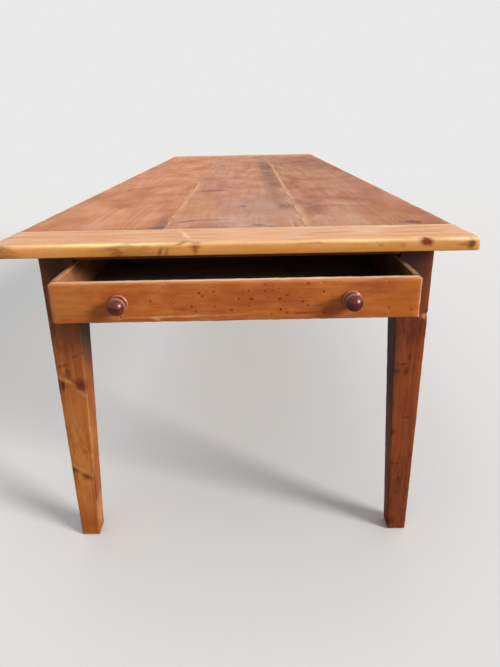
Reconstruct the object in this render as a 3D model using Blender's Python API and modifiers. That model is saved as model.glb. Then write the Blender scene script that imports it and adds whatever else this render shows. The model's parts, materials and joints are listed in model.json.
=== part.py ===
"""Farmhouse table of waxed pine.

A plank top with a cleat across each end stands on four square legs that taper on their two
inner faces. The aprons are tenoned and pegged into the legs. One dovetailed drawer runs in the
near end and is modelled standing open.

Metres, +Z up, feet on Z = 0. The drawer end faces -Y, and X = 0 is the middle of the width.
The origin is on the floor under the middle of the whole table, the open drawer included.
"""

import math

import bmesh
import bpy
from mathutils import Matrix, Vector

# Fits
GAP = 0.0003
CUTTER_LEAD = 0.005
DOVETAIL_SLOPE = 1.0 / 6.0
PARALLEL = 0.999
ROUND_PROFILE = 0.5

# Table top: three planks between two cleats
TABLE_HEIGHT = 0.765
TOP_LENGTH = 2.884
TOP_WIDTH = 0.930
TOP_THICKNESS = 0.026
TOP_EDGE_ROUND = 0.006
TOP_EDGE_STEPS = 4
LEFT_PLANK_WIDTH = 0.310
RIGHT_PLANK_WIDTH = 0.318
CLEAT_WIDTH = 0.142
TONGUE_THICKNESS = 0.008
TONGUE_INSET = 0.003
EDGE_TONGUE_REACH = 0.009
END_TONGUE_REACH = 0.022
END_TONGUE_STOP = 0.030

# Legs
LEG_SIZE = 0.072
FOOT_SIZE = 0.045
LEG_SPREAD = 0.822
END_OVERHANG = 0.094
LEG_ARRIS = 0.002
LEG_ARRIS_STEPS = 2

# Aprons and their pegged tenons
APRON_HEIGHT = 0.135
APRON_THICKNESS = 0.022
APRON_SETBACK = 0.004
APRON_TENON_THICKNESS = 0.010
APRON_TENON_LENGTH = 0.044
TENON_LOWER_SHOULDER = 0.010
TENON_UPPER_SHOULDER = 0.020
PEG_DIAMETER = 0.009
PEG_LENGTH = 0.040
PEG_FROM_SHOULDER = 0.021
PEG_FROM_TENON_EDGE = 0.020
PEG_SIDES = 16

# Cross rails between the side aprons
CROSS_RAIL_COUNT = 2
CROSS_RAIL_WIDTH = 0.060
CROSS_RAIL_THICKNESS = 0.022
CROSS_RAIL_TAIL_NECK = 0.040
CROSS_RAIL_TAIL_REACH = 0.013

# Wooden buttons that hold the top down, and their screws
BUTTON_LENGTH = 0.044
BUTTON_WIDTH = 0.038
BUTTON_THICKNESS = 0.020
BUTTON_TONGUE_REACH = 0.009
BUTTON_TONGUE_THICKNESS = 0.008
SCREW_DIAMETER = 0.0045
SCREW_HEAD_DIAMETER = 0.009
SCREW_HEAD_DEPTH = 0.0025
SCREW_BITE = 0.014
SCREW_POINT = 0.005
FASTENER_SIDES = 16

# Drawer rails
RAIL_SETBACK = 0.002
RAIL_DEPTH = 0.045
UPPER_RAIL_HEIGHT = 0.026
UPPER_RAIL_TAIL_NECK = 0.024
UPPER_RAIL_TAIL_REACH = 0.028
LOWER_RAIL_HEIGHT = 0.028
LOWER_RAIL_TENON_THICKNESS = 0.014
LOWER_RAIL_TENON_LENGTH = 0.032
LOWER_RAIL_TENON_SHOULDER = 0.004

# Drawer box
DRAWER_OPEN = 0.170
DRAWER_LENGTH = 0.460
DRAWER_SIDE_CLEARANCE = 0.002
DRAWER_HEADROOM = 0.003
DRAWER_LIFT = 0.0015
DRAWER_FACE_SETBACK = 0.001
DRAWER_FRONT_THICKNESS = 0.020
DRAWER_FRONT_ARRIS = 0.0015
DRAWER_FRONT_ARRIS_STEPS = 2
DRAWER_SIDE_THICKNESS = 0.010
DRAWER_BACK_THICKNESS = 0.012
DRAWER_BOTTOM_THICKNESS = 0.007
DRAWER_BOTTOM_RAISE = 0.008
DRAWER_GROOVE_DEPTH = 0.005
DRAWER_TAIL_COUNT = 2
DRAWER_PIN_WIDTH = 0.009
FRONT_TAIL_REACH = 0.014
NAIL_DIAMETER = 0.0025
NAIL_HEAD_DIAMETER = 0.005
NAIL_HEAD_DEPTH = 0.001
NAIL_LENGTH = 0.024
NAIL_SPACING = 0.240

# Drawer knobs: a turned collar, neck and bun head on a spigot
KNOB_SPACING = 0.422
KNOB_REACH = 0.036
KNOB_COLLAR_DIAMETER = 0.037
KNOB_COLLAR_THICKNESS = 0.007
KNOB_NECK_DIAMETER = 0.021
KNOB_HEAD_DIAMETER = 0.034
KNOB_HEAD_THICKNESS = 0.022
KNOB_SPIGOT_DIAMETER = 0.016
KNOB_SIDES = 32
KNOB_ARC_STEPS = 6

# What the drawer runs on
RUNNER_HEIGHT = 0.024
RUNNER_BEARING = 0.019
RUNNER_SPARE = 0.030
RUNNER_TENON_REACH = 0.010
RUNNER_TENON_INSET = 0.005
GUIDE_CLEARANCE = 0.0015
GUIDE_HEIGHT = 0.026
STOP_SPACING = 0.480
STOP_WIDTH = 0.040
STOP_DEPTH = 0.016
STOP_HEIGHT = 0.006
STOP_CLEARANCE = 0.0005

# Colours as sRGB, each with its roughness and metallic value
TOP_FINISH = ("#BE8660", 0.38, 0.0)
CLEAT_FINISH = ("#CF965F", 0.38, 0.0)
FRAME_FINISH = ("#A0602F", 0.45, 0.0)
DRAWER_FINISH = ("#AC652F", 0.45, 0.0)
INNER_FINISH = ("#A9774A", 0.70, 0.0)
PEG_FINISH = ("#7C4723", 0.50, 0.0)
KNOB_FINISH = ("#5A2A22", 0.25, 0.0)
STEEL_FINISH = ("#6B655E", 0.45, 1.0)

# Places that several pieces share
UNDERSIDE = TABLE_HEIGHT - TOP_THICKNESS
FRAME_TOP = UNDERSIDE - GAP
APRON_LOW = UNDERSIDE - APRON_HEIGHT
TONGUE_LEVEL = TABLE_HEIGHT - TOP_THICKNESS / 2
FRONT_REACH = max(0.0, DRAWER_OPEN - DRAWER_FACE_SETBACK + KNOB_REACH - END_OVERHANG)
NEAR_END = FRONT_REACH - (TOP_LENGTH + FRONT_REACH) / 2
FAR_END = NEAR_END + TOP_LENGTH
LEG_OUTER_X = LEG_SPREAD / 2
LEG_INNER_X = LEG_OUTER_X - LEG_SIZE
FRONT_LEG_FACE = NEAR_END + END_OVERHANG
REAR_LEG_FACE = FAR_END - END_OVERHANG
APRON_OUTER_X = LEG_OUTER_X - APRON_SETBACK
APRON_INNER_X = APRON_OUTER_X - APRON_THICKNESS
APRON_FRONT = FRONT_LEG_FACE + LEG_SIZE + GAP
APRON_REAR = REAR_LEG_FACE - LEG_SIZE - GAP
RAIL_FACE = FRONT_LEG_FACE + RAIL_SETBACK
RAIL_BACK = RAIL_FACE + RAIL_DEPTH
LOWER_RAIL_TOP = APRON_LOW + LOWER_RAIL_HEIGHT
UPPER_RAIL_LOW = FRAME_TOP - UPPER_RAIL_HEIGHT
CLOSED_FACE = FRONT_LEG_FACE + DRAWER_FACE_SETBACK
DRAWER_FACE = CLOSED_FACE - DRAWER_OPEN
DRAWER_HALF = LEG_INNER_X - DRAWER_SIDE_CLEARANCE
DRAWER_SIDE_INNER = DRAWER_HALF - DRAWER_SIDE_THICKNESS
DRAWER_LOW = LOWER_RAIL_TOP + DRAWER_LIFT
DRAWER_TOP = UPPER_RAIL_LOW - DRAWER_HEADROOM
DRAWER_REAR = DRAWER_FACE + DRAWER_LENGTH
FRONT_INNER_FACE = DRAWER_FACE + DRAWER_FRONT_THICKNESS
BACK_INNER_FACE = DRAWER_REAR - DRAWER_BACK_THICKNESS
FRONT_SHOULDER = FRONT_INNER_FACE + GAP
REAR_SHOULDER = BACK_INNER_FACE - GAP
BACK_TAIL_REACH = DRAWER_REAR - REAR_SHOULDER
BOTTOM_LOW = DRAWER_LOW + DRAWER_BOTTOM_RAISE
BOTTOM_TOP = BOTTOM_LOW + DRAWER_BOTTOM_THICKNESS
RUNNER_TOP = DRAWER_LOW - GAP
RUNNER_REAR = CLOSED_FACE + DRAWER_LENGTH + RUNNER_SPARE

SIDES = {"left": -1, "right": 1}
X_AXIS = Vector((1, 0, 0))
Y_AXIS = Vector((0, 1, 0))
Z_AXIS = Vector((0, 0, 1))

# Turns that stand a flat outline up: its plane becomes Y-Z or X-Z
STAND_ALONG_Y = Matrix(((0, 0, 1), (1, 0, 0), (0, 1, 0)))
STAND_ALONG_X = Matrix(((1, 0, 0), (0, 0, -1), (0, 1, 0)))


def new_collection(name):
    made = bpy.data.collections.new(name)
    bpy.context.scene.collection.children.link(made)
    return made


for old in list(bpy.data.objects):
    bpy.data.objects.remove(old, do_unlink=True)
TABLE = new_collection("farmhouse_table")
CUTTERS = new_collection("cutters")


def linear(hex_colour):
    """An sRGB hex colour as linear RGBA."""
    channels = []
    for start in (1, 3, 5):
        value = int(hex_colour[start:start + 2], 16) / 255
        if value <= 0.04045:
            channels.append(value / 12.92)
        else:
            channels.append(((value + 0.055) / 1.055) ** 2.4)
    return (*channels, 1.0)


def finish(obj, look):
    """Give a piece its own material."""
    colour, roughness, metallic = look
    material = bpy.data.materials.new(obj.name + "_finish")
    material.use_nodes = True
    shader = material.node_tree.nodes["Principled BSDF"]
    shader.inputs["Base Color"].default_value = linear(colour)
    shader.inputs["Roughness"].default_value = roughness
    shader.inputs["Metallic"].default_value = metallic
    obj.data.materials.clear()
    obj.data.materials.append(material)
    return obj


def place(name, mesh, location, group):
    obj = bpy.data.objects.new(name, mesh)
    obj.location = location
    group.objects.link(obj)
    return obj


def mesh_from(bm, name):
    mesh = bpy.data.meshes.new(name)
    bm.to_mesh(mesh)
    bm.free()
    return mesh


def box(name, low, high, group=TABLE):
    """A squared length of timber between two corners."""
    low = Vector(low)
    high = Vector(high)
    bm = bmesh.new()
    bmesh.ops.create_cube(bm, size=1.0)
    bmesh.ops.scale(bm, vec=high - low, verts=bm.verts)
    return place(name, mesh_from(bm, name), (low + high) / 2, group)


def rod(name, start, direction, length, radius, group=TABLE):
    """A round bar that starts at a point and runs along a direction."""
    bm = bmesh.new()
    bmesh.ops.create_cone(bm, cap_ends=True, segments=PEG_SIDES, depth=length,
                          radius1=radius, radius2=radius)
    turn = Z_AXIS.rotation_difference(direction).to_matrix()
    bmesh.ops.rotate(bm, matrix=turn, verts=bm.verts)
    return place(name, mesh_from(bm, name), start + direction * length / 2, group)


def board(name, outline, thickness, centre, turn=None, group=TABLE):
    """A board sawn to a flat outline, which is given from the board's centre."""
    curve = bpy.data.curves.new(name, "CURVE")
    curve.dimensions = "2D"
    curve.fill_mode = "BOTH"
    curve.extrude = thickness / 2
    spline = curve.splines.new("POLY")
    spline.points.add(len(outline) - 1)
    for point, (across, along) in zip(spline.points, outline):
        point.co = (across, along, 0.0, 1.0)
    spline.use_cyclic_u = True
    pattern = place(name + "_pattern", curve, (0, 0, 0), group)
    shaped = pattern.evaluated_get(bpy.context.evaluated_depsgraph_get())
    mesh = bpy.data.meshes.new_from_object(shaped)
    bpy.data.objects.remove(pattern, do_unlink=True)
    bm = bmesh.new()
    bm.from_mesh(mesh)
    bmesh.ops.remove_doubles(bm, verts=bm.verts, dist=GAP / 10)
    bmesh.ops.recalc_face_normals(bm, faces=bm.faces)
    bm.to_mesh(mesh)
    bm.free()
    obj = place(name, mesh, centre, group)
    if turn:
        obj.rotation_euler = turn.to_euler()
    return obj


def turned(name, profile, sides, location, direction, group=TABLE):
    """A lathe-turned piece: profile is (radius, height) from its top down to its foot."""
    mesh = bpy.data.meshes.new(name)
    points = [(radius, 0.0, height) for radius, height in profile]
    edges = [(index, index + 1) for index in range(len(points) - 1)]
    mesh.from_pydata(points, edges, [])
    obj = place(name, mesh, location, group)
    obj.rotation_euler = Z_AXIS.rotation_difference(direction).to_euler()
    lathe = obj.modifiers.new("lathe", "SCREW")
    lathe.steps = sides
    lathe.render_steps = sides
    lathe.use_merge_vertices = True
    lathe.merge_threshold = GAP / 100
    lathe.use_smooth_shade = True
    return obj


def grow(obj, direction, low, high, reach):
    """Grow a tenon or tongue out of the end face that looks along a direction.

    Only the two coordinates of low and high that lie across the direction are used.
    """
    bm = bmesh.new()
    bm.from_mesh(obj.data)
    facing = [face for face in bm.faces if face.normal.dot(direction) > PARALLEL]
    end = max(facing, key=lambda face: face.calc_center_median().dot(direction))
    bmesh.ops.inset_individual(bm, faces=[end], thickness=GAP)
    middle = end.calc_center_median()
    for vert in end.verts:
        for axis in range(3):
            if direction[axis] == 0:
                corner = low if vert.co[axis] < middle[axis] else high
                vert.co[axis] = corner[axis] - obj.location[axis]
    tip = bmesh.ops.extrude_discrete_faces(bm, faces=[end])["faces"][0]
    bmesh.ops.translate(bm, vec=direction * reach, verts=tip.verts)
    bm.to_mesh(obj.data)
    bm.free()


def round_arrises(obj, pairs, radius, steps):
    """Round the outermost edge between two faces, for each pair of face directions."""
    bm = bmesh.new()
    bm.from_mesh(obj.data)
    chosen = []
    for first, second in pairs:
        outward = first + second
        found = []
        for edge in bm.edges:
            total = sum((face.normal for face in edge.link_faces), Vector())
            if total.angle(outward, math.pi) < math.acos(PARALLEL) and total.length < 2 * PARALLEL:
                found.append(edge)
        reach = max(edge.verts[0].co.dot(outward) for edge in found)
        chosen += [edge for edge in found if reach - edge.verts[0].co.dot(outward) < GAP]
    bmesh.ops.bevel(bm, geom=chosen, offset=radius, segments=steps, profile=ROUND_PROFILE,
                    affect="EDGES")
    bm.to_mesh(obj.data)
    bm.free()


def cut(cutter, *pieces):
    """Take a cutter's shape out of pieces."""
    cutter.hide_render = True
    cutter.display_type = "WIRE"
    for piece in pieces:
        step = piece.modifiers.new(cutter.name, "BOOLEAN")
        step.operation = "DIFFERENCE"
        step.solver = "EXACT"
        step.object = cutter


def mortise(name, low, high, *pieces):
    """A square socket, given by the corners of what goes in it."""
    ease = Vector((GAP, GAP, GAP))
    cut(box(name, Vector(low) - ease, Vector(high) + ease, CUTTERS), *pieces)


def dovetail(shoulder, direction, middle, neck, reach, lead=0.0, ease=0.0):
    """The corners of a dovetail in a plane, from the low side round to the high side.

    lead starts it before its shoulder, and ease widens and lengthens it into a socket.
    """
    corners = []
    for run, side in ((-lead, -1), (reach + ease, -1), (reach + ease, 1), (-lead, 1)):
        half = neck / 2 + DOVETAIL_SLOPE * run + ease
        corners.append((shoulder + direction * run, middle + side * half))
    return corners


def dovetailed_rail(name, half_span, centre_y, width, thickness, neck, reach):
    """A flat rail under the top with a dovetail at each end, flush with the frame's top."""
    outline = [(-half_span, -width / 2), (half_span, -width / 2)]
    outline += dovetail(half_span, 1, 0.0, neck, reach)
    outline += [(half_span, width / 2), (-half_span, width / 2)]
    outline += reversed(dovetail(-half_span, -1, 0.0, neck, reach))
    return board(name, outline, thickness, (0, centre_y, FRAME_TOP - thickness / 2))


def rail_sockets(name, half_span, centre_y, thickness, neck, reach, holders):
    """Cut the two open-topped sockets for a dovetailed rail."""
    for side, sign in SIDES.items():
        shape = dovetail(sign * half_span, sign, 0.0, neck, reach, CUTTER_LEAD, GAP)
        depth = thickness + GAP + CUTTER_LEAD
        centre = (0, centre_y, FRAME_TOP - thickness - GAP + depth / 2)
        cut(board(f"{name}_{side}", shape, depth, centre, group=CUTTERS), holders[side])


def plank(name, left, right, left_edge, right_edge):
    """One lengthwise plank, with an end tongue for each cleat.

    An edge is "outer", "tongue" or "groove".
    """
    front = NEAR_END + CLEAT_WIDTH + GAP
    rear = FAR_END - CLEAT_WIDTH - GAP
    obj = box(name, (left, front, UNDERSIDE), (right, rear, TABLE_HEIGHT))
    half = TONGUE_THICKNESS / 2
    joint_margin = EDGE_TONGUE_REACH + TONGUE_INSET
    tongue_left = left + (END_TONGUE_STOP if left_edge == "outer" else joint_margin)
    tongue_right = right - (END_TONGUE_STOP if right_edge == "outer" else joint_margin)
    end_low = Vector((tongue_left, 0, TONGUE_LEVEL - half))
    end_high = Vector((tongue_right, 0, TONGUE_LEVEL + half))
    grow(obj, -Y_AXIS, end_low, end_high, END_TONGUE_REACH)
    grow(obj, Y_AXIS, end_low, end_high, END_TONGUE_REACH)
    if right_edge == "tongue":
        edge_low = Vector((0, front + TONGUE_INSET, TONGUE_LEVEL - half))
        edge_high = Vector((0, rear - TONGUE_INSET, TONGUE_LEVEL + half))
        grow(obj, X_AXIS, edge_low, edge_high, EDGE_TONGUE_REACH)
    if left_edge == "groove":
        mortise(name + "_groove",
                (left - CUTTER_LEAD, front - CUTTER_LEAD, TONGUE_LEVEL - half),
                (left + EDGE_TONGUE_REACH, rear + CUTTER_LEAD, TONGUE_LEVEL + half), obj)
    if left_edge == "outer":
        round_arrises(obj, [(Z_AXIS, -X_AXIS)], TOP_EDGE_ROUND, TOP_EDGE_STEPS)
    if right_edge == "outer":
        round_arrises(obj, [(Z_AXIS, X_AXIS)], TOP_EDGE_ROUND, TOP_EDGE_STEPS)
    return finish(obj, TOP_FINISH)


def cleat(name, end, outward):
    """The board across one end of the top, grooved for the planks' end tongues."""
    inner = end - outward * CLEAT_WIDTH
    low = (-TOP_WIDTH / 2, min(end, inner), UNDERSIDE)
    high = (TOP_WIDTH / 2, max(end, inner), TABLE_HEIGHT)
    obj = box(name, low, high)
    edges = [(Z_AXIS, outward * Y_AXIS), (Z_AXIS, X_AXIS), (Z_AXIS, -X_AXIS)]
    round_arrises(obj, edges, TOP_EDGE_ROUND, TOP_EDGE_STEPS)
    half_run = TOP_WIDTH / 2 - END_TONGUE_STOP
    bottom = inner + outward * END_TONGUE_REACH
    mouth = inner - outward * CUTTER_LEAD
    half = TONGUE_THICKNESS / 2
    mortise(name + "_groove",
            (-half_run, min(bottom, mouth), TONGUE_LEVEL - half),
            (half_run, max(bottom, mouth), TONGUE_LEVEL + half), obj)
    return finish(obj, CLEAT_FINISH)


def make_top():
    left_joint = -TOP_WIDTH / 2 + LEFT_PLANK_WIDTH
    right_joint = TOP_WIDTH / 2 - RIGHT_PLANK_WIDTH
    planks = {
        "left": plank("top_plank_left", -TOP_WIDTH / 2, left_joint - GAP / 2, "outer", "tongue"),
        "middle": plank("top_plank_middle", left_joint + GAP / 2, right_joint - GAP / 2,
                        "groove", "tongue"),
        "right": plank("top_plank_right", right_joint + GAP / 2, TOP_WIDTH / 2,
                       "groove", "outer"),
    }
    cleat("cleat_front", NEAR_END, -1)
    cleat("cleat_rear", FAR_END, 1)
    return planks


def make_leg(name, side, face, outward):
    """A square leg whose two inner faces taper from the apron's lower edge to the foot."""
    inner_x = side * LEG_INNER_X
    outer_x = side * LEG_OUTER_X
    inner_y = face - outward * LEG_SIZE
    low = (min(inner_x, outer_x), min(face, inner_y), 0.0)
    high = (max(inner_x, outer_x), max(face, inner_y), FRAME_TOP)
    obj = box(name, low, high)
    bm = bmesh.new()
    bm.from_mesh(obj.data)
    everything = list(bm.verts) + list(bm.edges) + list(bm.faces)
    taper_start = Vector((0, 0, APRON_LOW - obj.location.z))
    bmesh.ops.bisect_plane(bm, geom=everything, plane_co=taper_start, plane_no=Z_AXIS)
    foot_level = min(vert.co.z for vert in bm.verts)
    for vert in bm.verts:
        if vert.co.z < foot_level + GAP:
            if vert.co.x * side < 0:
                vert.co.x += side * (LEG_SIZE - FOOT_SIZE)
            if vert.co.y * outward < 0:
                vert.co.y += outward * (LEG_SIZE - FOOT_SIZE)
    upright = [edge for edge in bm.edges
               if abs(edge.verts[0].co.z - edge.verts[1].co.z) > LEG_SIZE]
    bmesh.ops.bevel(bm, geom=upright, offset=LEG_ARRIS, segments=LEG_ARRIS_STEPS,
                    profile=ROUND_PROFILE, affect="EDGES")
    bm.to_mesh(obj.data)
    bm.free()
    return finish(obj, FRAME_FINISH)


def peg_levels():
    lowest = APRON_LOW + TENON_LOWER_SHOULDER
    highest = FRAME_TOP - TENON_UPPER_SHOULDER
    return {"lower": lowest + PEG_FROM_TENON_EDGE, "upper": highest - PEG_FROM_TENON_EDGE}


def drive_pegs(name, start, direction, leg, apron):
    """Two pegs through a leg's face and the tenon behind it."""
    for level, height in peg_levels().items():
        head = Vector((start[0], start[1], height))
        peg = rod(f"{name}_{level}", head, direction, PEG_LENGTH, PEG_DIAMETER / 2)
        finish(peg, PEG_FINISH)
        hole_start = head - direction * CUTTER_LEAD
        hole_length = PEG_LENGTH + CUTTER_LEAD + GAP
        hole = rod(f"{name}_{level}_hole", hole_start, direction, hole_length,
                   PEG_DIAMETER / 2 + GAP, CUTTERS)
        cut(hole, leg, apron)


def make_side_apron(side, sign, front_leg, rear_leg):
    """A long apron, tenoned and pegged into its two legs."""
    inner = sign * APRON_INNER_X
    outer = sign * APRON_OUTER_X
    obj = box(f"side_apron_{side}", (min(inner, outer), APRON_FRONT, APRON_LOW),
              (max(inner, outer), APRON_REAR, FRAME_TOP))
    middle = (inner + outer) / 2
    half = APRON_TENON_THICKNESS / 2
    low = Vector((middle - half, 0, APRON_LOW + TENON_LOWER_SHOULDER))
    high = Vector((middle + half, 0, FRAME_TOP - TENON_UPPER_SHOULDER))
    ends = (("front", -1, APRON_FRONT, front_leg), ("rear", 1, APRON_REAR, rear_leg))
    for end, outward, shoulder, leg in ends:
        grow(obj, outward * Y_AXIS, low, high, APRON_TENON_LENGTH)
        tip = shoulder + outward * APRON_TENON_LENGTH
        mouth = shoulder - outward * CUTTER_LEAD
        mortise(f"side_{side}_{end}_mortise", (low.x, min(tip, mouth), low.z),
                (high.x, max(tip, mouth), high.z), leg)
        peg_start = (sign * LEG_OUTER_X, shoulder + outward * PEG_FROM_SHOULDER)
        drive_pegs(f"peg_{end}_{side}", peg_start, -sign * X_AXIS, leg, obj)
    return finish(obj, FRAME_FINISH)


def make_rear_apron(legs):
    """The short apron at the far end."""
    outer = REAR_LEG_FACE - APRON_SETBACK
    inner = outer - APRON_THICKNESS
    half_span = LEG_INNER_X - GAP
    obj = box("rear_apron", (-half_span, inner, APRON_LOW), (half_span, outer, FRAME_TOP))
    middle = (inner + outer) / 2
    half = APRON_TENON_THICKNESS / 2
    low = Vector((0, middle - half, APRON_LOW + TENON_LOWER_SHOULDER))
    high = Vector((0, middle + half, FRAME_TOP - TENON_UPPER_SHOULDER))
    for side, sign in SIDES.items():
        grow(obj, sign * X_AXIS, low, high, APRON_TENON_LENGTH)
        tip = sign * (half_span + APRON_TENON_LENGTH)
        mouth = sign * (half_span - CUTTER_LEAD)
        mortise(f"rear_{side}_mortise", (min(tip, mouth), low.y, low.z),
                (max(tip, mouth), high.y, high.z), legs[side])
        peg_start = (sign * (half_span + PEG_FROM_SHOULDER), REAR_LEG_FACE)
        drive_pegs(f"peg_end_{side}", peg_start, -Y_AXIS, legs[side], obj)
    return finish(obj, FRAME_FINISH)


def make_drawer_rails(legs):
    """The rail above the drawer, dovetailed into the leg tops, and the tenoned one below it."""
    half_span = LEG_INNER_X - GAP
    centre_y = (RAIL_FACE + RAIL_BACK) / 2
    upper = dovetailed_rail("drawer_rail_upper", half_span, centre_y, RAIL_DEPTH,
                            UPPER_RAIL_HEIGHT, UPPER_RAIL_TAIL_NECK, UPPER_RAIL_TAIL_REACH)
    rail_sockets("upper_rail_socket", half_span, centre_y, UPPER_RAIL_HEIGHT,
                 UPPER_RAIL_TAIL_NECK, UPPER_RAIL_TAIL_REACH, legs)
    lower = box("drawer_rail_lower", (-half_span, RAIL_FACE, APRON_LOW),
                (half_span, RAIL_BACK, LOWER_RAIL_TOP))
    half = LOWER_RAIL_TENON_THICKNESS / 2
    low = Vector((0, centre_y - half, APRON_LOW + LOWER_RAIL_TENON_SHOULDER))
    high = Vector((0, centre_y + half, LOWER_RAIL_TOP - LOWER_RAIL_TENON_SHOULDER))
    for side, sign in SIDES.items():
        grow(lower, sign * X_AXIS, low, high, LOWER_RAIL_TENON_LENGTH)
        tip = sign * (half_span + LOWER_RAIL_TENON_LENGTH)
        mouth = sign * (half_span - CUTTER_LEAD)
        mortise(f"lower_rail_{side}_mortise", (min(tip, mouth), low.y, low.z),
                (max(tip, mouth), high.y, high.z), legs[side])
    finish(upper, FRAME_FINISH)
    return finish(lower, FRAME_FINISH)


def make_cross_rails(aprons):
    """Rails that keep the long aprons straight. Returns the middle of each along the table."""
    bay = (APRON_REAR - APRON_FRONT) / (CROSS_RAIL_COUNT + 1)
    half_span = APRON_INNER_X - GAP
    middles = []
    for number in range(1, CROSS_RAIL_COUNT + 1):
        centre_y = APRON_FRONT + bay * number
        rail = dovetailed_rail(f"cross_rail_{number}", half_span, centre_y, CROSS_RAIL_WIDTH,
                               CROSS_RAIL_THICKNESS, CROSS_RAIL_TAIL_NECK, CROSS_RAIL_TAIL_REACH)
        rail_sockets(f"cross_rail_{number}_socket", half_span, centre_y, CROSS_RAIL_THICKNESS,
                     CROSS_RAIL_TAIL_NECK, CROSS_RAIL_TAIL_REACH, aprons)
        finish(rail, INNER_FINISH)
        middles.append(centre_y)
    return middles


def screw_profile(tip, ease=0.0, run_out=0.0):
    """A countersunk screw standing on its head: from its tip down to the head's flat face.

    ease widens it into a clearance hole, and run_out carries the hole past the head.
    """
    shank = SCREW_DIAMETER / 2 + ease
    head = SCREW_HEAD_DIAMETER / 2 + ease
    profile = [(0.0, tip + ease), (shank, tip - SCREW_POINT), (shank, SCREW_HEAD_DEPTH),
               (head, 0.0)]
    if run_out:
        profile.append((head, -run_out))
    return profile + [(0.0, -run_out)]


def make_buttons(aprons, planks, cross_rails):
    """Turned-in buttons hold the top down along both aprons, one in each bay."""
    stations = [RUNNER_REAR, *cross_rails, APRON_REAR]
    low = FRAME_TOP - BUTTON_THICKNESS
    shoulder = APRON_INNER_X - GAP
    tongue_tip = shoulder + BUTTON_TONGUE_REACH
    tongue_top = low + BUTTON_TONGUE_THICKNESS
    heel = shoulder - BUTTON_LENGTH
    screw_x = shoulder - BUTTON_LENGTH / 2
    for side, sign in SIDES.items():
        for number in range(len(stations) - 1):
            name = f"button_{side}_{number + 1}"
            centre_y = (stations[number] + stations[number + 1]) / 2
            shape = [(heel, low), (tongue_tip, low), (tongue_tip, tongue_top),
                     (shoulder, tongue_top), (shoulder, FRAME_TOP), (heel, FRAME_TOP)]
            shape = [(sign * across, height) for across, height in shape][::sign]
            button = board(name, shape, BUTTON_WIDTH, (0, centre_y, 0), STAND_ALONG_X)
            finish(button, INNER_FINISH)
            reach = (sign * (shoulder - CUTTER_LEAD), sign * tongue_tip)
            mortise(name + "_slot", (min(reach), centre_y - BUTTON_WIDTH / 2, low),
                    (max(reach), centre_y + BUTTON_WIDTH / 2, tongue_top), aprons[side])
            tip = BUTTON_THICKNESS + GAP + SCREW_BITE
            seat = Vector((sign * screw_x, centre_y, low))
            screw = turned(f"button_screw_{side}_{number + 1}", screw_profile(tip),
                           FASTENER_SIDES, seat, Z_AXIS)
            finish(screw, STEEL_FINISH)
            hole = turned(name + "_hole", screw_profile(tip, GAP, CUTTER_LEAD), FASTENER_SIDES,
                          seat, Z_AXIS, CUTTERS)
            cut(hole, button, planks[side])


def tails(shoulder, direction, low, high, reach, through=0.0, lead=0.0, ease=0.0):
    """Dovetails that share a height evenly, with pins of one width between their ends.

    through lengthens them past their reach at the same slope.
    """
    pitch = (high - low) / DRAWER_TAIL_COUNT
    neck = pitch - DRAWER_PIN_WIDTH - 2 * DOVETAIL_SLOPE * reach
    shapes = []
    for number in range(DRAWER_TAIL_COUNT):
        middle = low + pitch * (number + 0.5)
        shapes.append(dovetail(shoulder, direction, middle, neck, reach + through, lead, ease))
    return shapes


def drawer_side(side, sign):
    """A drawer side: lapped dovetails in front, through dovetails at the back."""
    outline = [(FRONT_SHOULDER, DRAWER_LOW), (DRAWER_REAR, DRAWER_LOW), (DRAWER_REAR, BOTTOM_TOP),
               (REAR_SHOULDER, BOTTOM_TOP)]
    for shape in tails(REAR_SHOULDER, 1, BOTTOM_TOP, DRAWER_TOP, BACK_TAIL_REACH):
        outline += shape
    outline += [(REAR_SHOULDER, DRAWER_TOP), (FRONT_SHOULDER, DRAWER_TOP)]
    front_tails = tails(FRONT_SHOULDER, -1, DRAWER_LOW, DRAWER_TOP, FRONT_TAIL_REACH)
    for shape in reversed(front_tails):
        outline += reversed(shape)
    centre = (sign * (DRAWER_SIDE_INNER + DRAWER_HALF) / 2, 0, 0)
    obj = board(f"drawer_side_{side}", outline, DRAWER_SIDE_THICKNESS, centre, STAND_ALONG_Y)
    return finish(obj, INNER_FINISH)


def cut_drawer_tails(side, sign, front, back):
    """Sockets in the drawer's front and back for one side's tails."""
    depth = DRAWER_SIDE_THICKNESS + GAP + CUTTER_LEAD
    centre = (sign * (DRAWER_SIDE_INNER - GAP + depth / 2), 0, 0)
    lapped = tails(FRONT_SHOULDER, -1, DRAWER_LOW, DRAWER_TOP, FRONT_TAIL_REACH,
                   lead=CUTTER_LEAD, ease=GAP)
    through = tails(REAR_SHOULDER, 1, BOTTOM_TOP, DRAWER_TOP, BACK_TAIL_REACH,
                    CUTTER_LEAD, CUTTER_LEAD, GAP)
    for end, shapes, piece in (("front", lapped, front), ("back", through, back)):
        for number, shape in enumerate(shapes):
            socket = board(f"{end}_tail_{side}_{number}", shape, depth, centre, STAND_ALONG_Y,
                           CUTTERS)
            cut(socket, piece)


def nail_profile(ease=0.0, run_out=0.0):
    """A flat-headed nail, point up, from its point down to the face of its head."""
    shank = NAIL_DIAMETER / 2 + ease
    head = NAIL_HEAD_DIAMETER / 2 + ease
    seat = NAIL_HEAD_DEPTH + ease
    profile = [(0.0, NAIL_LENGTH + ease), (shank, NAIL_LENGTH - NAIL_DIAMETER), (shank, seat),
               (head, seat), (head, -run_out)]
    return profile + [(0.0, -run_out)]


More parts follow.
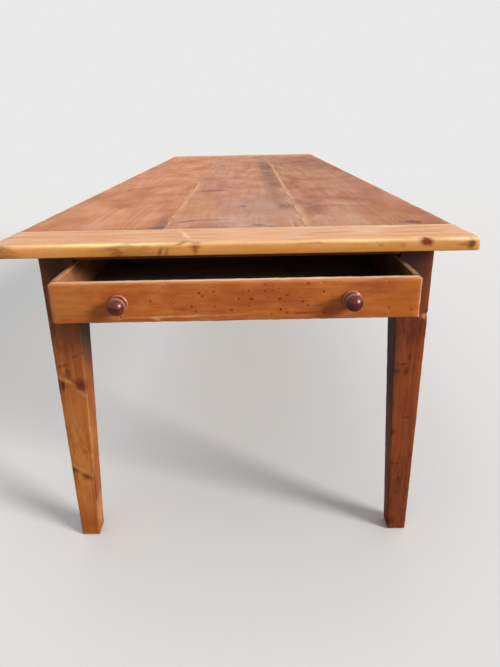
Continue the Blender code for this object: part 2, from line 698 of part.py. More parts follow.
def nail_drawer_bottom(bottom, back):
    """Nails hold the loose rear edge of the drawer's bottom up to its back."""
    pieces = []
    for number, offset in enumerate((-NAIL_SPACING, 0.0, NAIL_SPACING), start=1):
        seat = Vector((offset, DRAWER_REAR - DRAWER_BACK_THICKNESS / 2, BOTTOM_LOW))
        nail = turned(f"drawer_nail_{number}", nail_profile(), FASTENER_SIDES, seat, Z_AXIS)
        hole = turned(f"drawer_nail_{number}_hole", nail_profile(GAP, CUTTER_LEAD),
                      FASTENER_SIDES, seat, Z_AXIS, CUTTERS)
        cut(hole, bottom, back)
        pieces.append(finish(nail, STEEL_FINISH))
    return pieces


def arc(centre, radii, start, stop):
    """Points on an elliptical arc of a turned profile, angles in degrees from the radius."""
    points = []
    for step in range(KNOB_ARC_STEPS + 1):
        angle = math.radians(start + (stop - start) * step / KNOB_ARC_STEPS)
        points.append((centre[0] + radii[0] * math.cos(angle),
                       centre[1] + radii[1] * math.sin(angle)))
    return points


def knob_profile():
    """Bun head, hollow neck, rounded collar and the spigot that goes through the front."""
    head_half = KNOB_HEAD_THICKNESS / 2
    head_middle = KNOB_REACH - head_half
    head_radius = KNOB_HEAD_DIAMETER / 2
    neck_radius = KNOB_NECK_DIAMETER / 2
    collar_radius = KNOB_COLLAR_DIAMETER / 2
    collar_half = (KNOB_COLLAR_THICKNESS - GAP) / 2
    spigot_radius = KNOB_SPIGOT_DIAMETER / 2
    spigot_end = -DRAWER_FRONT_THICKNESS
    dome = arc((0.0, head_middle), (head_radius, head_half), 90, 0)
    lower_turn = -math.degrees(math.acos(neck_radius / head_radius))
    underside = arc((0.0, head_middle), (head_radius, head_half), 0, lower_turn)
    collar = arc((collar_radius - collar_half, GAP + collar_half), (collar_half, collar_half),
                 90, -90)
    profile = [(0.0, KNOB_REACH)] + dome[1:] + underside[1:]
    profile += [(neck_radius, KNOB_COLLAR_THICKNESS)] + collar
    return profile + [(spigot_radius, GAP), (spigot_radius, spigot_end), (0.0, spigot_end)]


def fit_knobs(front):
    """Each knob's spigot goes right through the drawer's front."""
    pieces = []
    for side, sign in SIDES.items():
        middle = Vector((sign * KNOB_SPACING / 2, DRAWER_FACE, (DRAWER_LOW + DRAWER_TOP) / 2))
        knob = turned(f"knob_{side}", knob_profile(), KNOB_SIDES, middle, -Y_AXIS)
        pieces.append(finish(knob, KNOB_FINISH))
        hole_radius = KNOB_SPIGOT_DIAMETER / 2 + GAP
        hole_length = DRAWER_FRONT_THICKNESS + 2 * CUTTER_LEAD
        hole = rod(f"knob_{side}_hole", middle - Y_AXIS * CUTTER_LEAD, Y_AXIS, hole_length,
                   hole_radius, CUTTERS)
        cut(hole, front)
    return pieces


def make_drawer():
    """The drawer box. All of it hangs on one empty, on the line that the drawer slides along."""
    front = box("drawer_front", (-DRAWER_HALF, DRAWER_FACE, DRAWER_LOW),
                (DRAWER_HALF, FRONT_INNER_FACE, DRAWER_TOP))
    round_arrises(front, [(Z_AXIS, -Y_AXIS), (-Z_AXIS, -Y_AXIS), (Z_AXIS, Y_AXIS)],
                  DRAWER_FRONT_ARRIS, DRAWER_FRONT_ARRIS_STEPS)
    back = box("drawer_back", (-DRAWER_HALF, BACK_INNER_FACE, BOTTOM_TOP + GAP),
               (DRAWER_HALF, DRAWER_REAR, DRAWER_TOP))
    bottom_half = DRAWER_SIDE_INNER + DRAWER_GROOVE_DEPTH
    groove_front = FRONT_INNER_FACE - DRAWER_GROOVE_DEPTH
    bottom = box("drawer_bottom", (-bottom_half + GAP, groove_front + GAP, BOTTOM_LOW),
                 (bottom_half - GAP, DRAWER_REAR, BOTTOM_TOP))
    sides = {side: drawer_side(side, sign) for side, sign in SIDES.items()}
    for side, sign in SIDES.items():
        cut_drawer_tails(side, sign, front, back)
    groove = box("drawer_bottom_groove", (-bottom_half, groove_front, BOTTOM_LOW - GAP),
                 (bottom_half, DRAWER_REAR + CUTTER_LEAD, BOTTOM_TOP + GAP), CUTTERS)
    cut(groove, front, *sides.values())
    knobs = fit_knobs(front)
    nails = nail_drawer_bottom(bottom, back)
    finish(front, DRAWER_FINISH)
    finish(back, INNER_FINISH)
    finish(bottom, INNER_FINISH)
    slide = bpy.data.objects.new("drawer_slide_line", None)
    slide.location = (0, DRAWER_FACE, DRAWER_LOW)
    TABLE.objects.link(slide)
    for piece in [front, back, bottom, *sides.values(), *knobs, *nails]:
        piece.location -= slide.location
        piece.parent = slide


def notched_strip(name, sign, front, low, high):
    """A strip along an apron under or over the drawer's side, notched round the front leg."""
    inner = DRAWER_HALF - RUNNER_BEARING
    beside_leg = LEG_INNER_X - GAP
    beside_apron = APRON_INNER_X - GAP
    outline = [(inner, front), (beside_leg, front), (beside_leg, APRON_FRONT),
               (beside_apron, APRON_FRONT), (beside_apron, RUNNER_REAR), (inner, RUNNER_REAR)]
    outline = [(sign * across, along) for across, along in outline][::sign]
    return board(name, outline, high - low, (0, 0, (low + high) / 2))


def make_runners(lower_rail):
    """Runner, guide, kicker and stop for each side of the drawer."""
    runner_low = RUNNER_TOP - RUNNER_HEIGHT
    strip_front = RAIL_BACK + GAP
    inner = DRAWER_HALF - RUNNER_BEARING
    for side, sign in SIDES.items():
        runner = notched_strip(f"drawer_runner_{side}", sign, strip_front, runner_low, RUNNER_TOP)
        reach = sorted((sign * (inner + RUNNER_TENON_INSET),
                        sign * (LEG_INNER_X - GAP - RUNNER_TENON_INSET)))
        low = Vector((reach[0], 0, runner_low + RUNNER_TENON_INSET))
        high = Vector((reach[1], 0, RUNNER_TOP - RUNNER_TENON_INSET))
        grow(runner, -Y_AXIS, low, high, RUNNER_TENON_REACH)
        mortise(f"runner_{side}_mortise", (low.x, strip_front - RUNNER_TENON_REACH, low.z),
                (high.x, strip_front + CUTTER_LEAD, high.z), lower_rail)
        finish(runner, INNER_FINISH)
        kicker = notched_strip(f"drawer_kicker_{side}", sign, strip_front, UPPER_RAIL_LOW, FRAME_TOP)
        finish(kicker, INNER_FINISH)
        span = sorted((sign * (DRAWER_HALF + GUIDE_CLEARANCE), sign * (APRON_INNER_X - GAP)))
        guide = box(f"drawer_guide_{side}", (span[0], APRON_FRONT, RUNNER_TOP + GAP),
                    (span[1], RUNNER_REAR, RUNNER_TOP + GAP + GUIDE_HEIGHT))
        finish(guide, INNER_FINISH)
        stop_x = sign * STOP_SPACING / 2
        stop_front = CLOSED_FACE + DRAWER_FRONT_THICKNESS + STOP_CLEARANCE
        stop_low = LOWER_RAIL_TOP + GAP
        stop = box(f"drawer_stop_{side}", (stop_x - STOP_WIDTH / 2, stop_front, stop_low),
                   (stop_x + STOP_WIDTH / 2, stop_front + STOP_DEPTH, stop_low + STOP_HEIGHT))
        finish(stop, INNER_FINISH)


def make_table():
    planks = make_top()
    front_legs = {}
    rear_legs = {}
    aprons = {}
    for side, sign in SIDES.items():
        front_legs[side] = make_leg(f"leg_front_{side}", sign, FRONT_LEG_FACE, -1)
        rear_legs[side] = make_leg(f"leg_rear_{side}", sign, REAR_LEG_FACE, 1)
        aprons[side] = make_side_apron(side, sign, front_legs[side], rear_legs[side])
    make_rear_apron(rear_legs)
    lower_rail = make_drawer_rails(front_legs)
    cross_rails = make_cross_rails(aprons)
    make_buttons(aprons, planks, cross_rails)
    make_drawer()
    make_runners(lower_rail)


make_table()
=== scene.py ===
"""The looks of a long farmhouse table in old waxed pine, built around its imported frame.

Each board is modelled again from a squared block: its arrises are worn round, its faces are left
a little wavy from the plane, and its joints are cut by the neighbours that go into them.
Metres, +Z up, the drawer end towards -Y.
"""

import json
import math
import random
from collections import namedtuple

import bmesh
import bpy
import numpy as np
from mathutils import Matrix, Vector


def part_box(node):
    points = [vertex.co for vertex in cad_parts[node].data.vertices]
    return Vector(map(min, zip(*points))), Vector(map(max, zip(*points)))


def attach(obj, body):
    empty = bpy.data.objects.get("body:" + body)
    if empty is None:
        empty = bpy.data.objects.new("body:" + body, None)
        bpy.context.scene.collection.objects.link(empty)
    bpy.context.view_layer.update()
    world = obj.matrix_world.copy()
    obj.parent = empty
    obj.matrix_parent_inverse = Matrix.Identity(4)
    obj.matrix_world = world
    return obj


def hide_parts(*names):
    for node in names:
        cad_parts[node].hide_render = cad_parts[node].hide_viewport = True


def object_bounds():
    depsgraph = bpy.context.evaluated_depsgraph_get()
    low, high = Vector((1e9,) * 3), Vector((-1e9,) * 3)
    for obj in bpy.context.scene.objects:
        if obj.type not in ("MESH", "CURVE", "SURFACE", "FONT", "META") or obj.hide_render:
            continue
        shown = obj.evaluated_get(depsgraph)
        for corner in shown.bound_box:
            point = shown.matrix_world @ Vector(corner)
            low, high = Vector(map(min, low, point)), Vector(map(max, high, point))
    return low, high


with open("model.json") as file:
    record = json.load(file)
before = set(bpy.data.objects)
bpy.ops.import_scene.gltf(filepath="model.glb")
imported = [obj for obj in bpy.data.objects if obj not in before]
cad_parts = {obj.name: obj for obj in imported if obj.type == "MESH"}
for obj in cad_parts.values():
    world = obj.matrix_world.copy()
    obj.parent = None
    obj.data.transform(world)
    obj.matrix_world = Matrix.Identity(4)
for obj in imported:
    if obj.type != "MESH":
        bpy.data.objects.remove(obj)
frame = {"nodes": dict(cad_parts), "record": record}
CAD_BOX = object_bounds()

MM = 0.001
RECORD = frame["record"]
BODY_OF = {name: body for body, names in RECORD["behaviour"]["bodies"].items() for name in names}
SIDES = {"left": -1, "right": 1}
LEVELS = ("lower", "upper")
BAYS = (1, 2, 3)

AXES = "XYZ"

# The six ways a face of a board can look
FACES = {
    "near": Vector((0, -1, 0)),
    "far": Vector((0, 1, 0)),
    "left": Vector((-1, 0, 0)),
    "right": Vector((1, 0, 0)),
    "top": Vector((0, 0, 1)),
    "under": Vector((0, 0, -1)),
}
OUTWARD = {"front": "near", "rear": "far"}

# Wear and tool marks
ARRIS_STEPS = 4
LUMP_STEPS = 4
SHARP_EDGE = math.radians(30)
SMOOTH_EDGE = math.radians(38)
ALONG = 0.98
WORN_REACH = 2.2
MOST_WORN = 0.45
WORTH_CUTTING = 1.5
MOST_CUTS = 90
MERGE = 0.01 * MM

# Uneven patterns: their size and contrast
PLANE_WAVES = (90 * MM, 1.0)
ARRIS_DENTS = (16 * MM, 1.8)
TORN_WOOD = (7 * MM, 1.6)

# How deep the plane's waves and the dents at the arrises go, in millimetres
WEAR = {
    "cleat": (0.5, 2.4), "plank": (0.7, 1.6), "leg": (0.8, 2.4), "apron": (0.9, 1.8),
    "upper_rail": (0.5, 1.0), "lower_rail": (0.5, 1.4), "cross_rail": (0.6, 1.0),
    "runner": (0.4, 1.0), "stop": (0.3, 1.0), "drawer_front": (0.5, 1.6),
    "drawer_side": (0.3, 1.2), "drawer_back": (0.4, 1.0), "drawer_bottom": (0.2, 0.5),
}

# Joints: a socket is a little wider than what goes in it
SOCKET_EASE = 0.1 * MM
TENON_EASE = 0.45 * MM
PLANK_GAP = 0.1 * MM

# How finely boards are cut, so that they can wave and wear
FINE_CUTS = 7 * MM
BOARD_CUTS = 12 * MM
ROUGH_CUTS = 40 * MM
THIN_CUTS = 5 * MM
BACK_CUTS = 6 * MM
CLOSE_CUTS = (FINE_CUTS,) * 3
EVEN_CUTS = (BOARD_CUTS,) * 3
SAWN_CUTS = (ROUGH_CUTS,) * 3


# Modelling

def activate(piece):
    bpy.ops.object.select_all(action="DESELECT")
    piece.select_set(True)
    bpy.context.view_layer.objects.active = piece


def middle_of(node_name):
    low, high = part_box(node_name)
    return (low + high) / 2


def add_object(name, data):
    made = bpy.data.objects.new(name, data)
    bpy.context.scene.collection.objects.link(made)
    return made


def add_shape(name, primitive, **settings):
    """Add a primitive with nothing else selected, name it, and put its place in its mesh."""
    bpy.ops.object.select_all(action="DESELECT")
    primitive(**settings)
    shape = bpy.context.object
    shape.name = name
    shape.data.name = name
    bpy.ops.object.transform_apply(location=True, rotation=True, scale=True)
    return shape


def start_block(name, low, high):
    """A squared block of wood between two corners."""
    low = Vector(low)
    high = Vector(high)
    return add_shape(name, bpy.ops.mesh.primitive_cube_add, size=1.0, location=(low + high) / 2,
                     scale=high - low)


def start_rod(name, sides, radius, start, end):
    """A round rod between two points."""
    run = Vector(end) - Vector(start)
    turn = FACES["top"].rotation_difference(run).to_euler()
    return add_shape(name, bpy.ops.mesh.primitive_cylinder_add, vertices=sides, radius=radius,
                     depth=run.length, location=Vector(start) + run / 2, rotation=turn)


def pick(piece, kind, test):
    """Open a piece for editing with just the faces, edges or points chosen that pass a test."""
    activate(piece)
    bpy.ops.object.mode_set(mode="EDIT")
    bpy.ops.mesh.select_mode(type=kind)
    bpy.ops.mesh.select_all(action="DESELECT")
    mesh = bmesh.from_edit_mesh(piece.data)
    parts = {"FACE": mesh.faces, "EDGE": mesh.edges, "VERT": mesh.verts}[kind]
    for part in parts:
        part.select_set(test(part))
    mesh.select_flush_mode()
    bmesh.update_edit_mesh(piece.data)


def put_down():
    bpy.ops.object.mode_set(mode="OBJECT")


def apply(piece, kind, **settings):
    """Add a modifier with its settings and apply it."""
    activate(piece)
    step = piece.modifiers.new(kind.lower(), kind)
    for name, value in settings.items():
        setattr(step, name, value)
    bpy.ops.object.modifier_apply(modifier=step.name)


def pair(first, second):
    """The arris between two faces, named by the ways that they look."""
    return frozenset((first, second))


def face_of(normal):
    """The way that a face looks, the nearest of six."""
    return max(FACES, key=lambda name: normal.dot(FACES[name]))


def round_arrises(piece, radii, plain):
    """Round each sharp edge: radii is by the arris, and plain is for the rest.

    Returns the edges as they were, each with its radius, for the wear along them.
    """
    mesh = bmesh.new()
    mesh.from_mesh(piece.data)
    largest = max([plain, *radii.values()])
    layer = mesh.edges.layers.float.new("bevel_weight_edge")
    arrises = []
    for edge in mesh.edges:
        if edge.calc_face_angle(0.0) > SHARP_EDGE:
            radius = radii.get(pair(*(face_of(face.normal) for face in edge.link_faces)), plain)
            edge[layer] = radius / largest
            arrises.append((edge.verts[0].co.copy(), edge.verts[1].co.copy(), radius))
    mesh.to_mesh(piece.data)
    mesh.free()
    apply(piece, "BEVEL", limit_method="WEIGHT", width=largest, segments=ARRIS_STEPS)
    return arrises


def add_cuts(piece, axis, spacing, low=-math.inf, high=math.inf):
    """Cut a block across an axis, about every spacing, so that its surface can be worn."""
    place = AXES.index(axis)

    def runs_along(edge):
        first, second = (vert.co for vert in edge.verts)
        run = second - first
        middle = (first[place] + second[place]) / 2
        return (abs(run[place]) > ALONG * run.length and run.length > WORTH_CUTTING * spacing
                and low < middle < high)

    longest = math.inf
    while longest:
        pick(piece, "EDGE", runs_along)
        mesh = bmesh.from_edit_mesh(piece.data)
        longest = max((edge.calc_length() for edge in mesh.edges if edge.select), default=0)
        if longest:
            cuts = min(max(round(longest / spacing) - 1, 1), MOST_CUTS)
            bpy.ops.mesh.subdivide(number_cuts=cuts)
        put_down()


def worn_weights(piece, arrises, dent):
    """How near each point of a piece lies to its worn edges, from 0 to 1, and how deep it is worn.

    Wear stays shallower than an arris is round, or its faces would cross.
    """
    points = np.empty(len(piece.data.vertices) * 3)
    piece.data.vertices.foreach_get("co", points)
    points = points.reshape(-1, 3)
    nearest = np.zeros(len(points))
    deepest = np.zeros(len(points))
    for first, second, radius in arrises:
        run = np.array(second - first)
        offset = points - np.array(first)
        share = np.clip(offset @ run / (run @ run), 0, 1)
        distance = np.linalg.norm(offset - share[:, None] * run, axis=1)
        near = 1 - distance / (WORN_REACH * radius)
        nearest = np.maximum(nearest, near)
        deepest = np.maximum(deepest, near * min(dent, MOST_WORN * radius))
    return nearest, deepest


def clouds(name, size, contrast):
    """A soft uneven pattern of one size, for waves and wear."""
    texture = bpy.data.textures.get(name) or bpy.data.textures.new(name, "CLOUDS")
    texture.noise_scale = size
    texture.contrast = contrast
    return texture


def wear(piece, arrises, kind):
    """Leave a piece wavy from the plane and dented along its worn edges, all inwards."""
    wave, dent = (depth * MM for depth in WEAR[kind])
    nearest, deepest = worn_weights(piece, arrises, dent)
    apply(piece, "DISPLACE", texture=clouds("plane_waves", *PLANE_WAVES),
          texture_coords="LOCAL", strength=-wave, mid_level=0.0)
    group = piece.vertex_groups.new(name="arris")
    for index in np.flatnonzero(deepest):
        group.add([int(index)], float(deepest[index] / dent), "REPLACE")
    apply(piece, "DISPLACE", texture=clouds("arris_dents", *ARRIS_DENTS),
          texture_coords="LOCAL", strength=-dent, mid_level=0.0, vertex_group="arris")
    piece.vertex_groups.clear()
    worn = piece.data.attributes.new("worn", "FLOAT", "POINT")
    worn.data.foreach_set("value", nearest.astype(np.float32))


def make_board(name, kind, low, high, cuts, radii, plain):
    """A board between two corners: rounded, cut along its three axes, and worn as its kind is."""
    board = start_block(name + "_aged", low, high)
    arrises = round_arrises(board, radii, plain)
    for axis, spacing in zip(AXES, cuts):
        add_cuts(board, axis, spacing)
    wear(board, arrises, kind)
    return board


def copy_of(node_name, name):
    """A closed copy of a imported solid, to ease or to cut with."""
    solid = add_object(name, frame["nodes"][node_name].data.copy())
    pick(solid, "VERT", lambda vert: True)
    bpy.ops.mesh.remove_doubles(threshold=MERGE)
    put_down()
    return solid


def use_up(piece, tool, operation):
    """Cut a piece with a tool shape, or join the shape to it, and take the shape away."""
    apply(piece, "BOOLEAN", operation=operation, solver="MANIFOLD", object=tool)
    bpy.data.objects.remove(tool, do_unlink=True)


def cut_by(piece, ease, *neighbours):
    """Cut a piece by its neighbours' solids, grown by an ease.

    A small ease leaves sockets for what goes in. A larger one leaves the tenons that do.
    """
    for neighbour in neighbours:
        cutter = copy_of(neighbour, "joint_cutter")
        apply(cutter, "DISPLACE", strength=ease, mid_level=0.0)
        use_up(piece, cutter, "DIFFERENCE")


def finish(piece, node_name, material):
    """Set a finished piece in the place of its node, with its finish."""
    activate(piece)
    bpy.ops.object.shade_smooth_by_angle(angle=SMOOTH_EDGE)
    piece.data.materials.clear()
    piece.data.materials.append(material)
    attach(piece, BODY_OF[node_name])
    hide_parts(node_name)


def ragged_lump(name, middle, reach, roughness):
    """A lump with a torn surface, to knock a chip out of a board with."""
    lump = add_shape(name, bpy.ops.mesh.primitive_ico_sphere_add, subdivisions=LUMP_STEPS, radius=1.0,
                     location=middle, scale=reach)
    apply(lump, "DISPLACE", texture=clouds("torn_wood", *TORN_WOOD), texture_coords="LOCAL",
          strength=roughness, mid_level=0.5)
    return lump


# Node tools

def linear(hex_colour):
    """An sRGB hex colour as linear RGBA."""
    channels = []
    for start in (1, 3, 5):
        value = int(hex_colour[start:start + 2], 16) / 255
        channels.append(value / 12.92 if value <= 0.04045 else ((value + 0.055) / 1.055) ** 2.4)
    return (*channels, 1.0)


def grey(value):
    return (value, value, value, 1.0)


def wire(tree, made, inputs):
    """Give each named input of a node a value, or a link from another node or socket."""
    for name, value in inputs.items():
        if isinstance(value, bpy.types.Node):
            value = next(socket for socket in value.outputs if socket.enabled)
        if isinstance(value, bpy.types.NodeSocket):
            tree.links.new(value, made.inputs[name])
        else:
            made.inputs[name].default_value = value


def add_node(tree, kind, inputs=None, stops=(), **settings):
    """Add a node with its settings, its inputs and the stops of its ramp."""
    made = tree.nodes.new("ShaderNode" + kind)
    for name, value in settings.items():
        setattr(made, name, value)
    wire(tree, made, inputs or {})
    for number, (position, colour) in enumerate(stops):
        ramp = made.color_ramp.elements
        stop = ramp[number] if number < len(ramp) else ramp.new(position)
        stop.position = position
        stop.color = colour
    return made


def new_material(name):
    """A material, its nodes, its shader, and the places on the piece that it is drawn on."""
    material = bpy.data.materials.new(name)
    material.use_nodes = True
    tree = material.node_tree
    return material, tree, tree.nodes["Principled BSDF"], add_node(tree, "TexCoord").outputs["Object"]


# Marks on boards, in millimetres and degrees: where, how far they reach, their turn and colour. Besides
# stains and wear, some are painted shadows, shade and highlights.
# An even one takes no notice of how the wood soaks, and a crisp one has a clean outline.
Mark = namedtuple("Mark", "at reach turn colour strength even crisp",
                  defaults=("#5E2A1B", 1.0, False, False))
MARK_DEPTH = 25
FINE_MARK = 8
SOFT_RIM = 1.2
TOP_LEVEL = CAD_BOX[1].z / MM

# The size of a ragged outline's tears, and how far they reach
TORN = (24, 14)
FRAYED = (7, 4)


def on_top(*rows):
    """Marks on the table's top, from rows of X, Y, width, length, turn and look."""
    return [Mark((x, y, TOP_LEVEL), (wide, long, MARK_DEPTH), (0, 0, turn), *look)
            for x, y, wide, long, turn, *look in rows]


def on_end(face, *rows):
    """Marks on a face that looks along Y, from rows of X, Z, width, height, turn and look."""
    return [Mark((x, face, z), (wide, MARK_DEPTH, high), (0, turn, 0), *look)
            for x, z, wide, high, turn, *look in rows]


def on_side(face, *rows):
    """Marks on a face that looks along X, from rows of Y, Z, length, height, turn and look."""
    return [Mark((face, y, z), (MARK_DEPTH, long, high), (turn, 0, 0), *look)
            for y, z, long, high, turn, *look in rows]


def pattern(tree, place, grain, sizes, detail, seed):
    """An uneven pattern, from its sizes along and across the grain in millimetres."""
    along, across = sizes
    repeats = [1 / ((along if axis == grain else across) * MM) for axis in AXES]
    drawn = add_node(tree, "Mapping", {"Vector": place, "Location": (seed, seed, seed),
                                       "Scale": repeats})
    return add_node(tree, "TexNoise", {"Vector": drawn, "Scale": 1.0, "Detail": detail})


def ragged(tree, place, size, reach):
    """Places shifted about a little, so that what is drawn on them has a torn outline."""
    shift = add_node(tree, "TexNoise", {"Vector": place, "Scale": 1 / (size * MM), "Detail": 2.0})
    centred = add_node(tree, "VectorMath", {0: shift.outputs["Color"], 1: (0.5, 0.5, 0.5)},
                       operation="SUBTRACT")
    return add_node(tree, "VectorMath", {0: centred, 1: (reach * MM,) * 3, 2: place},
                    operation="MULTIPLY_ADD")


def spot(tree, place, mark):
    """A soft round field: 1 in the middle of a mark and 0 at its rim."""
    fitted = add_node(tree, "Mapping", {
        "Vector": place,
        "Location": [size * MM for size in mark.at],
        "Rotation": [math.radians(angle) for angle in mark.turn],
        "Scale": [size * SOFT_RIM * MM for size in mark.reach]}, vector_type="TEXTURE")
    return add_node(tree, "TexGradient", {"Vector": fitted}, gradient_type="SPHERICAL")


# Patterns in old pine, in millimetres along and across its grain
WANDER = (700, 140)
FIBRES = (130, 2.4)
RESIN = (480, 11)
FLECKS = (14, 2.6)
RUBBING = (70, 20)
SOAKING = (26, 7)

TRUNK_WANDER = 30 * MM
KNOT_PUSH = 16 * MM
GRAIN_RELIEF = 0.2 * MM
WORM_DUST_AND_SHADE = "#3E1E10"


def old_pine(name, grain, pith, tones, ring=5.0, figure=0.3, fibre=0.25, cloud=(110, 40),
             mottle=0.6, bloom=0.5, flecks=0.3, rubbed=0.85, gloss=(0.4, 0.56), level=0.3,
             knots=(), marks=(), seed=0.0):
    """Pine with its yearly rings round a pith, patina, bloom, knots, rubbed arrises and marks: old ones,
    and painted shadows, shade and highlights.

    tones are those of spring wood, summer wood, patina, bloom and rubbed arrises. Sizes are in
    millimetres, and the pith's place along the grain isn't used.
    """
    early, late, patina, bloomed, worn = (linear(tone) for tone in tones)
    material, tree, shader, place = new_material(name)
    torn = ragged(tree, place, *TORN)
    frayed = ragged(tree, place, *FRAYED)

    # The trunk wanders along its length, so that the rings wave and close on the board's face
    wander = pattern(tree, place, grain, WANDER, 2.0, seed)
    bent = add_node(tree, "VectorMath", {0: wander.outputs["Color"], 1: (TRUNK_WANDER,) * 3, 2: place},
                    operation="MULTIPLY_ADD")
    across = [0.0 if axis == grain else 1.0 for axis in AXES]
    from_pith = add_node(tree, "Mapping", {
        "Vector": bent, "Scale": across,
        "Location": [-size * MM * keep for size, keep in zip(pith, across)]})
    growth = add_node(tree, "VectorMath", {0: from_pith}, operation="LENGTH")
    knot_fields = [spot(tree, frayed, knot) for knot in knots]
    for field in knot_fields:
        growth = add_node(tree, "Math", {0: field, 1: KNOT_PUSH, 2: growth}, operation="MULTIPLY_ADD")
    years = add_node(tree, "Math", {0: growth, 1: 1 / (ring * MM)}, operation="MULTIPLY")
    year = add_node(tree, "Math", {0: years}, operation="FRACT")
    summer = add_node(tree, "ValToRGB", {"Fac": year}, stops=[
        (0.0, grey(0.3)), (0.14, grey(0.0)), (0.5, grey(0.2)), (0.84, grey(1.0)), (1.0, grey(0.3))])
    line = add_node(tree, "Math", {0: summer, 1: figure}, operation="MULTIPLY")
    coats = [(line, late, "MIX")]

    # Fibres, drawn coarser than the real 0.1 mm so that they show, and broader streaks of resin
    fibres = pattern(tree, place, grain, FIBRES, 3.0, seed + 3.1)
    resin = pattern(tree, place, grain, RESIN, 3.0, seed + 5.7)
    for streaks in (fibres, resin):
        drawn = add_node(tree, "MapRange", {"Value": streaks, "From Min": 0.28, "From Max": 0.72})
        coats.append((fibre, drawn, "SOFT_LIGHT"))

    # Years of wax, smoke and hands: darker in clouds, bloomed in smaller ones, and dark in flecks
    smoke = pattern(tree, place, grain, cloud, 5.0, seed + 8.3)
    hands = pattern(tree, place, grain, [size / 2 for size in cloud], 6.0, seed + 14.7)
    short = pattern(tree, place, grain, FLECKS, 2.0, seed + 17.1)
    for clouded, low, high, most, tone in ((smoke, 0.42, 0.66, mottle, patina),
                                           (hands, 0.44, 0.7, bloom, bloomed),
                                           (short, 0.62, 0.72, flecks, late)):
        share = add_node(tree, "MapRange", {"Value": clouded, "From Min": low, "From Max": high,
                                            "To Max": most})
        coats.append((share, tone, "MIX"))

    # Arrises are rubbed back to paler wood, here more and there less
    near_arris = add_node(tree, "Attribute", attribute_name="worn").outputs["Fac"]
    patchy = pattern(tree, place, grain, RUBBING, 3.0, seed + 11.9)
    rub = add_node(tree, "Math", {0: near_arris, 1: patchy}, operation="MULTIPLY")
    bare = add_node(tree, "MapRange", {"Value": rub, "From Min": 0.14, "From Max": 0.5,
                                       "To Max": rubbed}, interpolation_type="SMOOTHSTEP")
    coats.append((bare, worn, "MIX"))

    for knot, field in zip(knots, knot_fields):
        shade = add_node(tree, "ValToRGB", {"Fac": field}, stops=[
            (0.08, grey(0.0)), (0.35, grey(0.4)), (0.52, grey(0.95)), (0.66, grey(0.75)),
            (1.0, grey(0.9))])
        coats.append((shade, linear(knot.colour), "MIX"))

    # Marks soak into the wood unevenly, more along its grain
    soak = pattern(tree, place, grain, SOAKING, 5.0, seed + 21.3)
    uneven = add_node(tree, "MapRange", {"Value": soak, "From Min": 0.38, "From Max": 0.62,
                                         "To Min": 0.5, "To Max": 1.5})
    for mark in marks:
        outline = frayed if min(mark.reach) < FINE_MARK else torn
        field = spot(tree, place if mark.crisp else outline, mark)
        if not mark.even:
            field = add_node(tree, "Math", {0: field, 1: uneven}, operation="MULTIPLY")
        strength = add_node(tree, "MapRange", {"Value": field, "From Max": 0.9,
                                               "To Max": mark.strength},
                            interpolation_type="SMOOTHSTEP")
        coats.append((strength, linear(mark.colour), "MIX"))

    # The inside of a worm's flight hole is dark: dust, and painted shade in the hole
    bored = add_node(tree, "Attribute", attribute_name="bored").outputs["Fac"]
    coats.append((bored, linear(WORM_DUST_AND_SHADE), "MIX"))

    colour = early
    for share, tone, blend in coats:
        colour = add_node(tree, "Mix", {0: share, 6: colour, 7: tone}, data_type="RGBA",
                          blend_type=blend)
    shine = add_node(tree, "MapRange", {"Value": smoke, "From Min": 0.35, "From Max": 0.65,
                                        "To Min": gloss[0], "To Max": gloss[1]})
    shine = add_node(tree, "Math", {0: shine, 1: bored}, operation="MAXIMUM")
    relief = add_node(tree, "Math", {0: summer, 1: fibres}, operation="ADD")
    bump = add_node(tree, "Bump", {"Height": relief, "Strength": 0.35, "Distance": GRAIN_RELIEF})
    wire(tree, shader, {"Base Color": colour, "Roughness": shine, "Normal": bump,
                        "Specular IOR Level": level})
    return material


# Materials

def bare_pine(name, grain, tones=("#A9774A", "#8A5A34", "#6E4A2E", "#B08860"), seed=20.0):
    """Unfinished pine gone brown with age: matt, rough from the saw, paler where it is rubbed."""
    return old_pine(name, grain, (20, 40, 690), (*tones, "#E2B68A"), ring=4.0, figure=0.5,
                    mottle=0.7, rubbed=0.9, gloss=(0.6, 0.8), seed=seed)


def peg_wood(name, grain):
    """Riven pegs of darker hardwood: tight end grain, nearly matt."""
    return old_pine(name, grain, (0, 0, 0), ("#8A5630", "#5E3419", "#4A2A16", "#8A5630", "#8A5630"),
                    ring=1.2, cloud=(20, 8), mottle=0.4, rubbed=0.0, gloss=(0.5, 0.6))


# A knob's figure along and across its grain, in millimetres
KNOB_FIGURE = (40, 12)

# How far from a knob's axis its rims begin to be paler and are palest, and how much: rubbed by hands and
# a painted highlight
RUBBED_AND_HIGHLIT_RIM = (14.2 * MM, 16.6 * MM)
MOST_RUBBED_AND_HIGHLIT = 0.8


